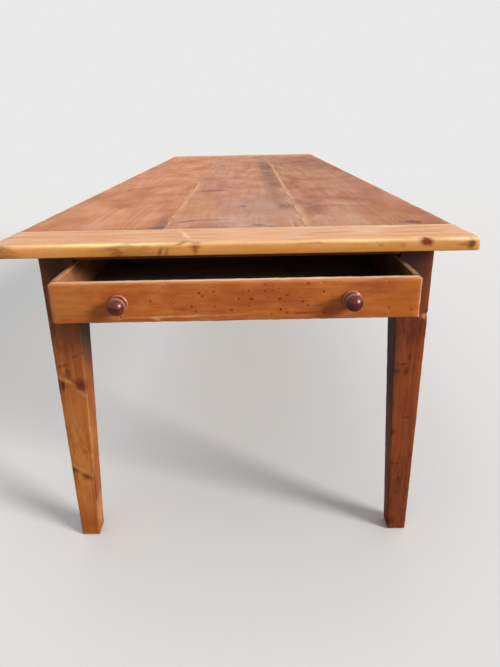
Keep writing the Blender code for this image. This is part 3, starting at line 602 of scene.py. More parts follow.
def knob_wood():
    """Turned hardwood, stained red-brown and polished: a warm gloss, and rims paler, rubbed by hands and
    with a painted highlight.
    """
    material, tree, shader, place = new_material("polished_red_brown_hardwood")
    grain = pattern(tree, place, "X", KNOB_FIGURE, 3.0, 0.0)
    colour = add_node(tree, "ValToRGB", {"Fac": grain}, stops=[
        (0.32, linear("#2A0D0D")), (0.55, linear("#501C17")), (0.78, linear("#783229"))])
    axis = middle_of("knob_right")
    sides = add_node(tree, "SeparateXYZ", {"Vector": place}).outputs
    aside = add_node(tree, "Math", {0: sides["X"]}, operation="ABSOLUTE")
    outward = add_node(tree, "CombineXYZ", {"X": aside, "Z": sides["Z"]})
    from_axis = add_node(tree, "VectorMath", {0: outward, 1: (axis.x, 0, axis.z)},
                         operation="DISTANCE").outputs["Value"]
    # Paler rims: rubbed wood and a painted highlight
    rim = add_node(tree, "MapRange", {"Value": from_axis, "From Min": RUBBED_AND_HIGHLIT_RIM[0],
                                      "From Max": RUBBED_AND_HIGHLIT_RIM[1], "To Max": MOST_RUBBED_AND_HIGHLIT},
                   interpolation_type="SMOOTHSTEP")
    colour = add_node(tree, "Mix", {0: rim, 6: colour, 7: linear("#B87A6C")}, data_type="RGBA")
    polish = add_node(tree, "MapRange", {"Value": grain, "To Min": 0.26, "To Max": 0.36})
    wire(tree, shader, {"Base Color": colour, "Roughness": polish, "Specular IOR Level": 1.0,
                        "Specular Tint": linear("#FFBEA8")})
    return material


def dull_steel():
    """Old nails and screws: grey-brown steel, dulled by rust."""
    material, tree, shader, place = new_material("dull_old_steel")
    rust = add_node(tree, "TexNoise", {"Vector": place, "Scale": 1 / (2 * MM), "Detail": 4.0})
    colour = add_node(tree, "ValToRGB", {"Fac": rust}, stops=[
        (0.35, linear("#6B655E")), (0.6, linear("#4A3A2E")), (0.75, linear("#6A3E22"))])
    dulled = add_node(tree, "MapRange", {"Value": rust, "To Min": 0.35, "To Max": 0.75})
    wire(tree, shader, {"Base Color": colour, "Roughness": dulled, "Metallic": 1.0})
    return material


# Table top

TOP_ROUND = 6 * MM
END_ROUND = 5 * MM
CORNER_ROUND = 8 * MM
UNDER_ROUND = 2.5 * MM
JOINT_ROUND = 0.8 * MM
TIGHT_ROUND = 0.35 * MM
PLANK_SINK = 0.4 * MM
TONGUE_THICKNESS = 8 * MM
TONGUE_STOP = 30 * MM
TONGUE_MARGIN = 12 * MM
TOP_GLOSS = (0.56, 0.7)
TOP_SHEEN = 0.22

PLANK_MARKS = {
    "left": on_top(
        (-310, -1240, 200, 30, 0, "#A5634A", 0.35), (-215, -640, 80, 60, 0, "#AE6A48", 0.6),
        (-168, -1150, 20, 140, 2, "#8A5C52", 0.65, True), (-170, -1228, 30, 40, 0, "#664A4A", 0.8, True),
        (-208, -1240, 64, 12, 0, "#745450", 0.75, True), (-375, -505, 8, 20, 0, "#80503E", 0.7),
        (-415, 600, 50, 700, 0, "#B87040", 0.4)),
    "middle": on_top(
        (0, -1240, 160, 24, 0, "#A66A52", 0.45), (60, -960, 130, 330, 0, "#BC9486", 0.6),
        (-110, -900, 70, 320, 0, "#D0905E", 0.35), (0, -1150, 70, 120, 0, "#D2AC9E", 0.45),
        (108, -680, 50, 300, 0, "#8E6450", 0.5), (-100, -640, 50, 170, 0, "#A8664A", 0.4),
        (116, 260, 48, 960, 0, "#80543E", 0.85, True), (40, 560, 60, 220, 0, "#A0684A", 0.5),
        (126, -396, 30, 110, 0, "#7A4834", 0.7), (136, 386, 16, 180, 0, "#764632", 0.7),
        (126, -935, 34, 60, 0, "#7C563C", 0.65), (-115, -1150, 40, 12, 38, "#7E4436", 0.8, True),
        (-62, -1131, 54, 11, 0, "#8A4E3E", 0.75, True), (-84, -560, 68, 26, 0, "#844A3A", 0.8, True),
        (12, -927, 13, 26, 0, "#5C5870", 0.85, True), (50, -1212, 22, 13, -40, "#645A6A", 0.8, True),
        (78, -1236, 30, 11, -46, "#70606A", 0.7, True), (118, 178, 34, 20, -14, "#E4C6A8", 0.6),
        (-151, -700, 9, 520, 0, "#E2AA7C", 0.75, True)),
    "right": on_top(
        (380, -1240, 130, 24, 0, "#9C6046", 0.45), (310, 700, 200, 640, 0, "#8E5840", 0.45),
        (415, -560, 56, 460, 0, "#B06A50", 0.55), (420, 500, 50, 800, 0, "#96503C", 0.55),
        (225, -1160, 90, 130, 0, "#DCAC86", 0.45), (370, -1050, 110, 200, 0, "#B8703E", 0.5),
        (205, -970, 40, 80, 0, "#8C5A40", 0.55), (245, -940, 52, 18, 5, "#8A4C34", 0.65),
        (312, -952, 36, 16, -12, "#8E5038", 0.6), (300, -800, 66, 34, -20, "#9C5A44", 0.55),
        (380, -720, 46, 50, -30, "#9E5C48", 0.5), (368, -1203, 22, 8, 0, "#74403A", 0.7),
        (151, -100, 8, 1500, 0, "#E0AC80", 0.7, True), (156, -1060, 16, 260, 0, "#E0AC80", 0.6, True))}
RIGHT_PLANK_KNOT = (388, -1206, 22, 26, 0)

CLEAT_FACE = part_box("cleat_front")[0].y / MM
CLEAT_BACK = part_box("cleat_rear")[1].y / MM
CLEAT_MARKS_AND_HIGHLIGHTS = {
    "front": [
        Mark((0, CLEAT_FACE, 742), (1800, 14, 30), (0, 0, 0), "#D08622", 0.85, True),
        # Pale along the near top arris: rubbed wood and a painted highlight
        Mark((-120, CLEAT_FACE + 2, 764), (700, 9, 7), (0, 0, 0), "#F2C285", 0.8, True),
        Mark((-240, CLEAT_FACE + 2, 764), (150, 8, 6), (0, 0, 0), "#FFEE9C", 0.95, True),
        Mark((240, CLEAT_FACE + 2, 764), (110, 8, 6), (0, 0, 0), "#FADA94", 0.85, True),
        Mark((432, CLEAT_FACE + 2, 764), (60, 9, 7), (0, 0, 0), "#FCE2AC", 0.8, True),
        *on_end(CLEAT_FACE,
            (-446, 748, 44, 20, 0, "#8A562A", 0.75), (-190, 750, 100, 18, 0, "#925E28", 0.45),
            (-222, 750, 24, 12, 20, "#844E20", 0.6), (-142, 747, 5, 12, 20, "#7E4A1E", 0.75),
            (-129, 746, 4, 11, 20, "#7E4A1E", 0.7), (-74, 757, 14, 10, 0, "#8A421E", 0.9),
            (-74, 749, 6, 14, 0, "#965224", 0.75), (-97, 764, 18, 4, -15, "#7A4C30", 0.8),
            (361, 757, 16, 11, 0, "#82281A", 1.3, True), (446, 752, 10, 14, 0, "#74401A", 1.0),
            (432, 752, 18, 5, 0, "#A05A24", 0.7, True), (317, 752, 8, 7, 0, "#96602A", 0.6),
            (275, 752, 8, 6, 0, "#96602A", 0.5), (146, 759, 36, 2.5, 0, "#9C6428", 0.5)),
        *on_top(
            (-300, -1310, 150, 80, 0, "#DC9C6C", 0.35), (250, -1300, 70, 60, 0, "#F6D0AC", 0.4),
            (203, -1312, 48, 6, 0, "#A46C58", 0.7), (392, -1321, 30, 12, 0, "#DA8C54", 0.6),
            (372, -1272, 76, 10, 2, "#DE9656", 0.65, True), (300, -1260, 70, 5, 0, "#FFE2A6", 0.75, True),
            (350, -1338, 90, 12, 0, "#F2BE7A", 0.55, True), (0, -1248, 1800, 5, 0, "#FADAAC", 0.85, True),
            (-100, -1311, 8, 56, 20, "#F6D6A6", 0.8, True))],
    "rear": [
        *on_top(
            (-330, 1430, 60, 14, 4, "#A8683E", 0.6), (40, 1462, 90, 12, -3, "#B0744A", 0.55),
            (260, 1410, 40, 20, 10, "#9E6038", 0.6)),
        *on_end(CLEAT_BACK,
            (-290, 751, 46, 12, 0, "#8A5428", 0.6), (120, 749, 70, 10, 2, "#945C2C", 0.5),
            (402, 754, 14, 10, 0, "#7C4620", 0.7))]}


def top_pine(piece, grain, pith, tones, marks, **figure):
    """Old pine of a table top, waxed and rubbed for years: a soft sheen and a quiet figure."""
    return old_pine("waxed_pine_" + piece, grain, pith, tones, gloss=TOP_GLOSS, level=TOP_SHEEN,
                    marks=marks, **figure)


def make_cleat(end, pith, tones, **figure):
    """The board across one end of the top, most worn where people sit and lean."""
    name = "cleat_" + end
    outer = OUTWARD[end]
    radii = {pair(outer, "top"): TOP_ROUND, pair(outer, "under"): UNDER_ROUND}
    for side in SIDES:
        radii[pair(side, "top")] = END_ROUND
        radii[pair(side, "under")] = UNDER_ROUND
        radii[pair(side, outer)] = CORNER_ROUND
    cleat = make_board(name, "cleat", *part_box(name), CLOSE_CUTS, radii, JOINT_ROUND)
    cut_by(cleat, SOCKET_EASE, *("top_plank_" + side for side in PLANK_MARKS))
    finish(cleat, name, top_pine(name, "X", pith, tones, CLEAT_MARKS_AND_HIGHLIGHTS[end], cloud=(150, 30), **figure))


def make_plank(side, left, right, sockets, pith, tones, **figure):
    """A lengthwise plank: its body between the joints, and the tongues that stand out of it."""
    name = "top_plank_" + side
    low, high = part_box(name)
    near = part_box("cleat_front")[1].y + PLANK_GAP
    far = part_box("cleat_rear")[0].y - PLANK_GAP
    radii = {pair(edge, "top"): TIGHT_ROUND for edge in SIDES}
    radii.update({pair(side, "top"): TOP_ROUND, pair(side, "under"): UNDER_ROUND})
    plank = make_board(name, "plank", (left, near, low.z), (right, far, high.z - PLANK_SINK),
                       (BOARD_CUTS, BOARD_CUTS, FINE_CUTS), radii, JOINT_ROUND)
    level = (low.z + high.z) / 2
    half = TONGUE_THICKNESS / 2
    first = left + (TONGUE_STOP if side == "left" else TONGUE_MARGIN)
    last = right - (TONGUE_STOP if side == "right" else TONGUE_MARGIN)
    tongues = [((first, low.y, level - half), (last, high.y, level + half))]
    if side != "right":
        tongues.append(((last, near + TONGUE_MARGIN, level - half),
                        (high.x, far - TONGUE_MARGIN, level + half)))
    for corners in tongues:
        use_up(plank, start_block("tongue", *corners), "UNION")
    cut_by(plank, SOCKET_EASE, *sockets)
    finish(plank, name, top_pine("plank_" + side, "Y", pith, tones, PLANK_MARKS[side], mottle=0.8,
                                 **figure))


def make_top():
    """Three planks and the two cleats."""
    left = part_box("top_plank_left")[0].x
    first_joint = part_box("top_plank_middle")[0].x
    second_joint, right = (corner.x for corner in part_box("top_plank_right"))
    gap = PLANK_GAP / 2
    screws = {side: [f"button_screw_{side}_{bay}" for bay in BAYS] for side in SIDES}

    # Planks: pinkish brown, each in its own tone
    make_plank("left", left, first_joint - gap, screws["left"], (-330, 0, 640),
               ("#D08A5C", "#B26A3E", "#B66E4A", "#DEA280", "#F4CE9E"), ring=9.0, figure=0.4,
               cloud=(260, 110), fibre=0.2, rubbed=0.65, bloom=0.7, seed=1.0)
    make_plank("middle", first_joint + gap, second_joint - gap, ["top_plank_left"], (10, 0, 600),
               ("#CA8A62", "#AE6C48", "#AE7258", "#D0A08A", "#F4CE9E"), ring=10.0, figure=0.45,
               cloud=(220, 100), fibre=0.22, rubbed=0.65, bloom=0.8, seed=5.0)
    make_plank("right", second_joint + gap, right, ["top_plank_middle", *screws["right"]], (250, 0, 655),
               ("#C2825C", "#A06240", "#9E624A", "#CA9880", "#F4CE9E"), ring=13.0, figure=0.6,
               cloud=(220, 90), fibre=0.22, bloom=0.7, seed=9.0, knots=on_top(RIGHT_PLANK_KNOT))

    # The cleat at the drawer's end is pink brown above, a pink that holds a painted sheen, golden on its
    # face, and yellow between: rubbed wood and a painted highlight
    make_cleat("front", (0, -1330, 690), ("#E8AE82", "#D69866", "#DA9A70", "#F1C6A6", "#F6CE9A"),
               ring=8.0, rubbed=0.5, mottle=0.7, bloom=0.7, seed=2.0)
    make_cleat("rear", (0, 1420, 690), ("#DA9A66", "#C08048", "#CC8C60", "#E0A884", "#F8D9A0"),
               ring=6.0, rubbed=0.9, seed=30.0)


# Legs

LEG_ROUND = 2.6 * MM
FOOT_ROUND = 4 * MM
FOOT_TAPER = 27 * MM
PITH_ASIDE = (34, 48)

# Faces of the legs, in millimetres: near, far and outer
LEG_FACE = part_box("leg_front_left")[0].y / MM
LEG_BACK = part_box("leg_rear_left")[1].y / MM
LEG_SIDE = 411

# The chip knocked out of the right leg, in metres
CHIP_PLACE = (0.412, LEG_FACE * MM, 0.578)
CHIP_REACH = (0.014, 0.008, 0.009)
CHIP_TEAR = 3 * MM

LEG_TONES = {
    "front_left": ("#AE602C", "#84461E", "#8E4A22", "#BE7A3E", "#D0924E"),
    "front_right": ("#8D431A", "#6A2E14", "#723216", "#985026", "#A25C30"),
    "rear_left": ("#A5632F", "#7E451F", "#824824", "#B0743A", "#D09454"),
    "rear_right": ("#9C5A2B", "#74401E", "#784222", "#A86A36", "#C88A50")}
LEG_KNOTS = {
    "rear_left": [*on_end(LEG_BACK, (-384, 470, 13, 15, 0)),
                  *on_side(-LEG_SIDE, (1372, 330, 12, 15, 0))],
    "rear_right": [*on_end(LEG_BACK, (372, 300, 14, 12, 0)),
                   *on_side(LEG_SIDE, (1360, 540, 13, 16, 0))]}
LEG_MARKS_SHADOWS_AND_LIGHT = {
    "front_left": [
        # Painted shadows: the face darker under the drawer, and nearly black under the top
        *on_end(LEG_FACE,
            (-375, 590, 70, 120, 0, "#643824", 0.5), (-375, 720, 70, 110, 0, "#281822", 0.8, True)),
        # Painted shade: the upper inner face greyed under the drawer and the top
        Mark((-340, LEG_FACE + 36, 570), (14, 60, 130), (0, 0, 0), "#45423A", 0.9, True),
        *on_end(LEG_FACE,
            (-384, 225, 32, 150, 2, "#C6803A", 0.6), (-349, 300, 9, 100, 6, "#CE9250", 0.6),
            (-386, 40, 40, 50, 0, "#98481C", 0.7), (-402, 428, 16, 28, 20, "#4A2216", 0.95),
            (-362, 426, 24, 24, 10, "#602018", 0.95, True), (-392, 437, 30, 9, 38, "#C88844", 0.75, True),
            (-364, 407, 30, 6, 34, "#C27C3C", 0.65, True), (-385, 454, 9, 18, -15, "#6E3E1C", 0.8),
            (-358, 499, 22, 4, -25, "#6C3C22", 0.6), (-395, 473, 24, 5, -10, "#6C3C22", 0.6),
            (-376, 248, 3, 9, 0, "#6A3C1C", 0.7), (-370, 248, 3, 8, 0, "#6A3C1C", 0.7),
            (-402, 200, 18, 10, 20, "#5E2A14", 0.9, True), (-376, 180, 20, 13, 30, "#602612", 0.9, True),
            (-384, 194, 36, 7, 35, "#C88842", 0.65, True)),
        Mark((-360.5, LEG_FACE + 1, 140), (2.2, 4, 84), (0, 2.6, 0), "#40200E", 0.9, True, True),
        # A painted light: the lower inner face by the foot, pale as if worn
        Mark((-362, LEG_FACE + 30, 60), (10, 40, 60), (0, 0, 0), "#D8A070", 0.6),
        *on_side(-LEG_SIDE,
            (LEG_FACE + 30, 520, 14, 30, 10, "#5E2E18", 0.75),
            (LEG_FACE + 50, 310, 16, 9, 20, "#5A2A16", 0.8, True),
            (LEG_FACE + 22, 150, 10, 50, -3, "#C68844", 0.6),
            (LEG_FACE + 40, 60, 40, 40, 0, "#7E3E1C", 0.6))],
    "front_right": [
        # Painted shadow under the top on the leg's face
        *on_end(LEG_FACE,
            (375, 710, 60, 110, 0, "#301A1A", 0.8, True)),
        # Painted shade: the inner face, which looks away from the light, darkened
        Mark((340, LEG_FACE + 36, 480), (22, 60, 330), (0, 0, 0), "#2E2E28", 0.8, True),
        *on_end(LEG_FACE,
            (372, 548, 50, 62, 0, "#5A1F12", 0.7), (375, 120, 60, 150, 0, "#5C290F", 0.6),
            (403, 578, 16, 9, 0, "#A8643C", 0.7), (380, 478, 6, 12, 0, "#4A2014", 0.8),
            (367, 462, 18, 4, -4, "#4A2014", 0.75), (376, 445, 8, 16, 0, "#52180E", 0.8, True),
            (353, 445, 12, 7, 0, "#4E180E", 0.8, True), (391, 452, 10, 14, 0, "#5C381F", 0.55),
            (386, 326, 15, 4, 0, "#4A2014", 0.75), (357, 285, 10, 14, 0, "#551A10", 0.8, True),
            (406, 221, 6, 20, 0, "#48200F", 0.7), (371, 199, 16, 4, 0, "#4A2014", 0.85),
            (380, 155, 6, 11, 0, "#4A2014", 0.8), (380, 111, 8, 6, 0, "#4A2014", 0.7),
            (375, 25, 12, 18, 0, "#50201A", 0.8)),
        *on_side(LEG_SIDE,
            (LEG_FACE + 40, 640, 20, 40, 0, "#5C281A", 0.6),
            (LEG_FACE + 28, 400, 14, 10, 15, "#4E1C10", 0.8, True),
            (LEG_FACE + 46, 250, 10, 60, 2, "#A86A3C", 0.5),
            (LEG_FACE + 36, 90, 16, 12, -20, "#50201A", 0.75))],
    "rear_left": [
        *on_end(LEG_BACK,
            (-370, 690, 50, 60, 0, "#643820", 0.6), (-380, 240, 8, 80, 3, "#C48844", 0.6),
            (-394, 160, 14, 6, 30, "#5E2C16", 0.8, True), (-384, 40, 50, 50, 0, "#70391B", 0.7)),
        *on_side(-LEG_SIDE,
            (1366, 600, 10, 90, 2, "#6A3A1E", 0.6), (1380, 120, 26, 12, 20, "#5A2A16", 0.7))],
    "rear_right": [
        *on_end(LEG_BACK,
            (380, 560, 40, 60, 0, "#5E3520", 0.55), (392, 420, 7, 110, -2, "#BC8044", 0.6),
            (376, 190, 24, 6, -24, "#58290F", 0.75, True), (380, 30, 50, 40, 0, "#6A351A", 0.7)),
        *on_side(LEG_SIDE,
            (1372, 250, 9, 90, 3, "#C48A48", 0.55), (1364, 100, 16, 24, 0, "#5A2A16", 0.7))]}


def leg_pine(leg):
    """Waxed pine of a leg, knotty and streaked, in its own tone: some legs are much redder."""
    low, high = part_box("leg_" + leg)
    pith = [(first + last) / 2 / MM + aside for first, last, aside in zip(low, high, PITH_ASIDE)]
    return old_pine("waxed_pine_leg_" + leg, "Z", (*pith, 0), LEG_TONES[leg], ring=6.0, rubbed=0.4,
                    knots=LEG_KNOTS.get(leg, ()), marks=LEG_MARKS_SHADOWS_AND_LIGHT[leg],
                    seed=40.0 + low.x * 10 + low.y)


def make_leg(end, side, tenons, chips):
    """A square leg: its two inner faces taper from the aprons' lower edge to the foot."""
    name = f"leg_{end}_{side}"
    low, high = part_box(name)
    middle = middle_of(name)
    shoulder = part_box("rear_apron")[0].z
    leg = start_block(name + "_aged", low, high)
    pick(leg, "FACE", lambda face: True)
    bpy.ops.mesh.bisect(plane_co=(0, 0, shoulder), plane_no=FACES["top"])
    put_down()
    for outward in (FACES[side], FACES[OUTWARD[end]]):
        pick(leg, "VERT", lambda vert: vert.co.z < MM and (vert.co - middle).dot(outward) < 0)
        bpy.ops.transform.translate(value=outward * FOOT_TAPER)
        put_down()
    feet = {pair(face, "under"): FOOT_ROUND for face in FACES}
    arrises = round_arrises(leg, feet, LEG_ROUND)
    for axis in "XY":
        add_cuts(leg, axis, FINE_CUTS)
    add_cuts(leg, "Z", BOARD_CUTS, high=shoulder)
    add_cuts(leg, "Z", BOARD_CUTS, low=shoulder)
    wear(leg, arrises, "leg")
    for chip in chips:
        use_up(leg, chip, "DIFFERENCE")
    pegs = [f"peg_{end}_{side}_{level}" for level in LEVELS]
    if end == "rear":
        pegs += [f"peg_end_{side}_{level}" for level in LEVELS]
    cut_by(leg, SOCKET_EASE, *tenons, *pegs)
    finish(leg, name, leg_pine(f"{end}_{side}"))


def make_legs():
    """Four legs: two at the drawer's end, and two at the far end."""
    rails = {"front": ["drawer_rail_upper", "drawer_rail_lower"], "rear": ["rear_apron"]}
    for end in OUTWARD:
        for side in SIDES:
            chips = []
            if (end, side) == ("front", "right"):
                chips = [ragged_lump("knocked_chip", CHIP_PLACE, CHIP_REACH, CHIP_TEAR)]
            make_leg(end, side, ["side_apron_" + side, *rails[end]], chips)


# Aprons, rails and what the drawer runs on

APRON_ROUND = 2 * MM
SAWN_ROUND = 1 * MM
BUTTON_EASE = 0.6 * MM

# Each long apron's knots, knocks from chairs and stains: Y, Z, length, height, and a knock's turn
APRON_KNOTS = {
    "left": ((-930, 655, 15, 12), (-310, 690, 11, 10), (420, 628, 17, 13), (1090, 668, 12, 11)),
    "right": ((-1010, 684, 12, 11), (-480, 630, 16, 13), (250, 664, 18, 14), (960, 640, 11, 9))}
APRON_KNOCKS = {
    "left": ((-640, 640, 40, 7, 12), (130, 700, 60, 5, -6), (760, 634, 26, 9, 20)),
    "right": ((-760, 646, 46, 6, -10), (-120, 696, 34, 7, 8), (610, 632, 30, 9, -16))}
APRON_STAINS = {
    "left": ((-1130, 680, 140, 40), (-80, 640, 200, 26), (930, 700, 180, 24)),
    "right": ((-900, 700, 160, 26), (30, 630, 180, 30), (1180, 676, 120, 40))}
APRON_RUBBED = (-820, 40, 700)
APRON_PITH_ASIDE = 60
APRON_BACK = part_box("rear_apron")[1].y / MM
REAR_APRON_KNOTS = on_end(APRON_BACK,
    (-170, 650, 15, 12, 0), (214, 690, 12, 11, 0))
REAR_APRON_MARKS = on_end(APRON_BACK,
    (40, 630, 60, 8, 5, "#5E3018", 0.7), (-250, 700, 90, 24, 0, "#6E3A1C", 0.55),
    (130, 664, 44, 6, -9, "#5E3018", 0.65), (-40, 610, 150, 8, 0, "#CC9250", 0.6))


def make_joined(name, kind, cuts, plain, tenons, sockets, material, radii=None):
    """A board that goes into some neighbours and takes others."""
    board = make_board(name, kind, *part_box(name), cuts, radii or {}, plain)
    cut_by(board, TENON_EASE, *tenons)
    cut_by(board, SOCKET_EASE, *sockets)
    finish(board, name, material)


def frame_pine(name, grain, pith, seed, knots=(), marks=()):
    """Waxed pine of the frame under the top: orange brown, darker than the top, rubbed below."""
    return old_pine(name, grain, pith, ("#A8662F", "#7C421C", "#824622", "#B87C40", "#D09454"),
                    ring=6.5, cloud=(200, 46), figure=0.65, mottle=0.75, bloom=0.6, flecks=0.5,
                    knots=knots, marks=marks, seed=seed)


def apron_pine(side, number):
    """Wood of a long apron, with its own knots, knocks and stains, rubbed along its lower edge."""
    low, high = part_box("side_apron_" + side)
    face = (low.x if side == "left" else high.x) / MM
    pith = ((low.x + high.x) / 2 / MM + APRON_PITH_ASIDE * SIDES[side], 0, 640)
    knots = on_side(face, *((*place, 0) for place in APRON_KNOTS[side]))
    marks = on_side(face, *((*place, "#5E3018", 0.75) for place in APRON_KNOCKS[side]),
                    *((*place, 0, "#6E3A1C", 0.55) for place in APRON_STAINS[side]),
                    *((y, 610, 150, 8, 0, "#CC9250", 0.6) for y in APRON_RUBBED))
    return frame_pine("waxed_pine_apron_" + side, "Y", pith, 70.0 + 5 * number, knots, marks)


def make_frame():
    """The three aprons and the two drawer rails."""
    for number, side in enumerate(SIDES):
        pegs = [f"peg_{end}_{side}_{level}" for end in OUTWARD for level in LEVELS]
        buttons = [f"button_{side}_{bay}" for bay in BAYS]
        make_joined("side_apron_" + side, "apron", (BOARD_CUTS, 2 * BOARD_CUTS, BOARD_CUTS), APRON_ROUND,
                    ["leg_front_" + side, "leg_rear_" + side],
                    ["cross_rail_1", "cross_rail_2", *buttons, *pegs], apron_pine(side, number))
    make_joined("rear_apron", "apron", EVEN_CUTS, APRON_ROUND, ["leg_rear_left", "leg_rear_right"],
                [f"peg_end_{side}_{level}" for side in SIDES for level in LEVELS],
                frame_pine("waxed_pine_apron_rear", "X", (0, 1460, 620), 84.0,
                           REAR_APRON_KNOTS, REAR_APRON_MARKS))
    legs = ["leg_front_left", "leg_front_right"]
    rail = frame_pine("waxed_pine_rails", "X", (0, -1220, 560), 90.0)
    make_joined("drawer_rail_upper", "upper_rail", EVEN_CUTS, SAWN_ROUND, legs, [], rail)
    make_joined("drawer_rail_lower", "lower_rail", EVEN_CUTS, SAWN_ROUND, legs,
                ["drawer_runner_left", "drawer_runner_right"], rail)


def make_inner_pieces():
    """What isn't seen from above: cross rails, runners, guides, kickers, stops and buttons."""
    across = bare_pine("bare_pine_across", "X")
    lengthwise = bare_pine("bare_pine_lengthwise", "Y", seed=24.0)
    aprons = ["side_apron_left", "side_apron_right"]
    for number in (1, 2):
        make_joined(f"cross_rail_{number}", "cross_rail", SAWN_CUTS, SAWN_ROUND, aprons, [], across)
    for side in SIDES:
        leg = "leg_front_" + side
        tenons = {"runner": [leg, "drawer_rail_lower"], "guide": [], "kicker": [leg]}
        for piece in tenons:
            make_joined(f"drawer_{piece}_{side}", "runner", SAWN_CUTS, SAWN_ROUND, tenons[piece], [],
                        lengthwise)
        make_joined("drawer_stop_" + side, "stop", EVEN_CUTS, SAWN_ROUND, [], [], across)
        for bay in BAYS:
            name = f"button_{side}_{bay}"
            button = copy_of(name, name + "_eased")
            apply(button, "BEVEL", limit_method="ANGLE", angle_limit=SHARP_EDGE, width=BUTTON_EASE,
                  segments=2)
            finish(button, name, across)


# Pegs and metal

PEG_SIDES = 16
PEG_DOME = 0.6 * MM

# Steps of a peg's dome: each goes in by the radius over the first number, and up by a share of the dome
DOME_STEPS = ((4, 0.7), (3, 0.3))


def make_pegs():
    """Draw-bore pegs: one is shaped, and each is a copy of it, turned to its joint."""
    low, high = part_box("peg_front_left_lower")
    length = high.x - low.x
    radius = (high.z - low.z) / 2
    shaped = start_rod("shaped_peg", PEG_SIDES, radius, (0, 0, -length), (0, 0, 0))
    pick(shaped, "FACE", lambda face: face.normal.z > ALONG)
    for part, share in DOME_STEPS:
        bpy.ops.mesh.inset(thickness=radius / part)
        bpy.ops.transform.translate(value=(0, 0, PEG_DOME * share))
    put_down()
    woods = {"X": peg_wood("riven_peg_wood_side", "X"), "Y": peg_wood("riven_peg_wood_end", "Y")}
    for end in ("front", "rear", "end"):
        for side in SIDES:
            outward = FACES["far"] if end == "end" else FACES[side]
            axis = "Y" if end == "end" else "X"
            for level in LEVELS:
                name = f"peg_{end}_{side}_{level}"
                head = middle_of(name) + outward * length / 2
                peg = add_object(name + "_domed", shaped.data.copy())
                turn = FACES["top"].rotation_difference(outward).to_matrix().to_4x4()
                peg.data.transform(Matrix.Translation(head) @ turn)
                finish(peg, name, woods[axis])
    bpy.data.objects.remove(shaped, do_unlink=True)


# The slot in a screw's head, and its turn from one screw to the next in degrees
SLOT_WIDTH = 1.2 * MM
SLOT_DEPTH = 1.1 * MM
SLOT_REACH = 8 * MM
SLOT_TURN = 37
NAILS = [f"drawer_nail_{number}" for number in (1, 2, 3)]


def make_metal():
    """The button screws, each with a slot at its own turn, and the nails of the drawer's bottom."""
    steel = dull_steel()
    for number, (side, bay) in enumerate((side, bay) for side in SIDES for bay in BAYS):
        name = f"button_screw_{side}_{bay}"
        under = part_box(name)[0].z
        middle = middle_of(name)
        screw = copy_of(name, name + "_slotted")
        slot = start_block("screw_slot", (middle.x - SLOT_REACH, middle.y - SLOT_WIDTH / 2, under - MM),
                           (middle.x + SLOT_REACH, middle.y + SLOT_WIDTH / 2, under + SLOT_DEPTH))
        turn = Matrix.Rotation(math.radians(SLOT_TURN * number), 4, "Z")
        slot.data.transform(Matrix.Translation(middle) @ turn @ Matrix.Translation(-middle))
        use_up(screw, slot, "DIFFERENCE")
        finish(screw, name, steel)
    for nail in NAILS:
        frame["nodes"][nail].material_slots[0].material = steel


# Drawer

FRONT_ROUND = 3.5 * MM
FRONT_END_ROUND = 4.5 * MM
DRAWER_ROUND = 1.6 * MM
BACK_ARRIS_ROUND = 2 * MM
DRAWER_BOX_ROUND = 0.8 * MM
BOTTOM_ROUND = 0.5 * MM
WORM_DEPTH = 4 * MM

# Flight holes of woodworm seen on the front, in millimetres: X, Z and width
WORM_HOLES = [
    (-112, 678, 2.6), (-66, 688, 2.6), (-52, 691, 2), (-39, 690, 2.4), (-61, 681, 2), (-80, 662, 2.4),
    (-38, 662, 2), (5, 676, 2.8), (28, 674, 2), (24, 691, 2), (159, 686, 2.6), (275, 702, 2),
    (320, 650, 2.4), (280, 652, 2), (82, 655, 3.6), (-210, 645, 3),
]

# The scatter of smaller ones, in millimetres: it keeps off the knobs and the ends
WORM_SEED = 11
WORM_COUNT = 42
WORM_SIDES = 7
WORM_SPREAD = (30, 130)
WORM_HEIGHTS = (642, 704)
WORM_WIDTHS = (1.2, 1.7)
WORM_ENDS = (-320, 325)
WORMS_APART = 7
KNOB_ASIDE = 211
KNOB_ROOM = 24

# Where the faces inside the holes lie: X, how deep, and Z
BORED_PLACES = ((-330, 330), (1, 6), (638, 705))

DRAWER_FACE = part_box("drawer_front")[0].y / MM
DRAWER_FRONT_MARKS_AND_HIGHLIGHTS = [
    # A painted highlight: the pale band along the top of the front
    Mark((0, -1450, 712.3), (1500, 20, 3.4), (0, 0, 0), "#FFDAB0", 3.5, True, True),
    # A painted highlight: the pale strip at the right end, at x 336
    *on_end(DRAWER_FACE,
        (336, 672, 3, 60, 0, "#EDBE94", 0.85, True), (-338, 668, 14, 90, 0, "#A8683A", 0.9, True),
        (-300, 672, 70, 60, 0, "#B47236", 0.6), (300, 670, 60, 60, 0, "#B8641E", 0.6),
        (250, 690, 50, 14, 0, "#8E4020", 0.5), (180, 652, 60, 12, 0, "#96461F", 0.5),
        (20, 672, 180, 34, 0, "#A04C1E", 0.5), (-236, 682, 8, 4, 0, "#7E4222", 0.8),
        (-97, 658, 24, 4, 3, "#7E4226", 0.7), (150, 662, 18, 3, -4, "#7E4226", 0.6),
        (60, 700, 16, 2.5, 3, "#7A4024", 0.6), (-160, 690, 18, 2.5, 0, "#8A4C28", 0.5),
        (122, 647, 44, 2.5, 0, "#74381C", 0.8), (-90, 645, 120, 3, -1, "#DA9860", 0.8),
        (-145, 641, 13, 5, 10, "#E2A878", 0.9))]


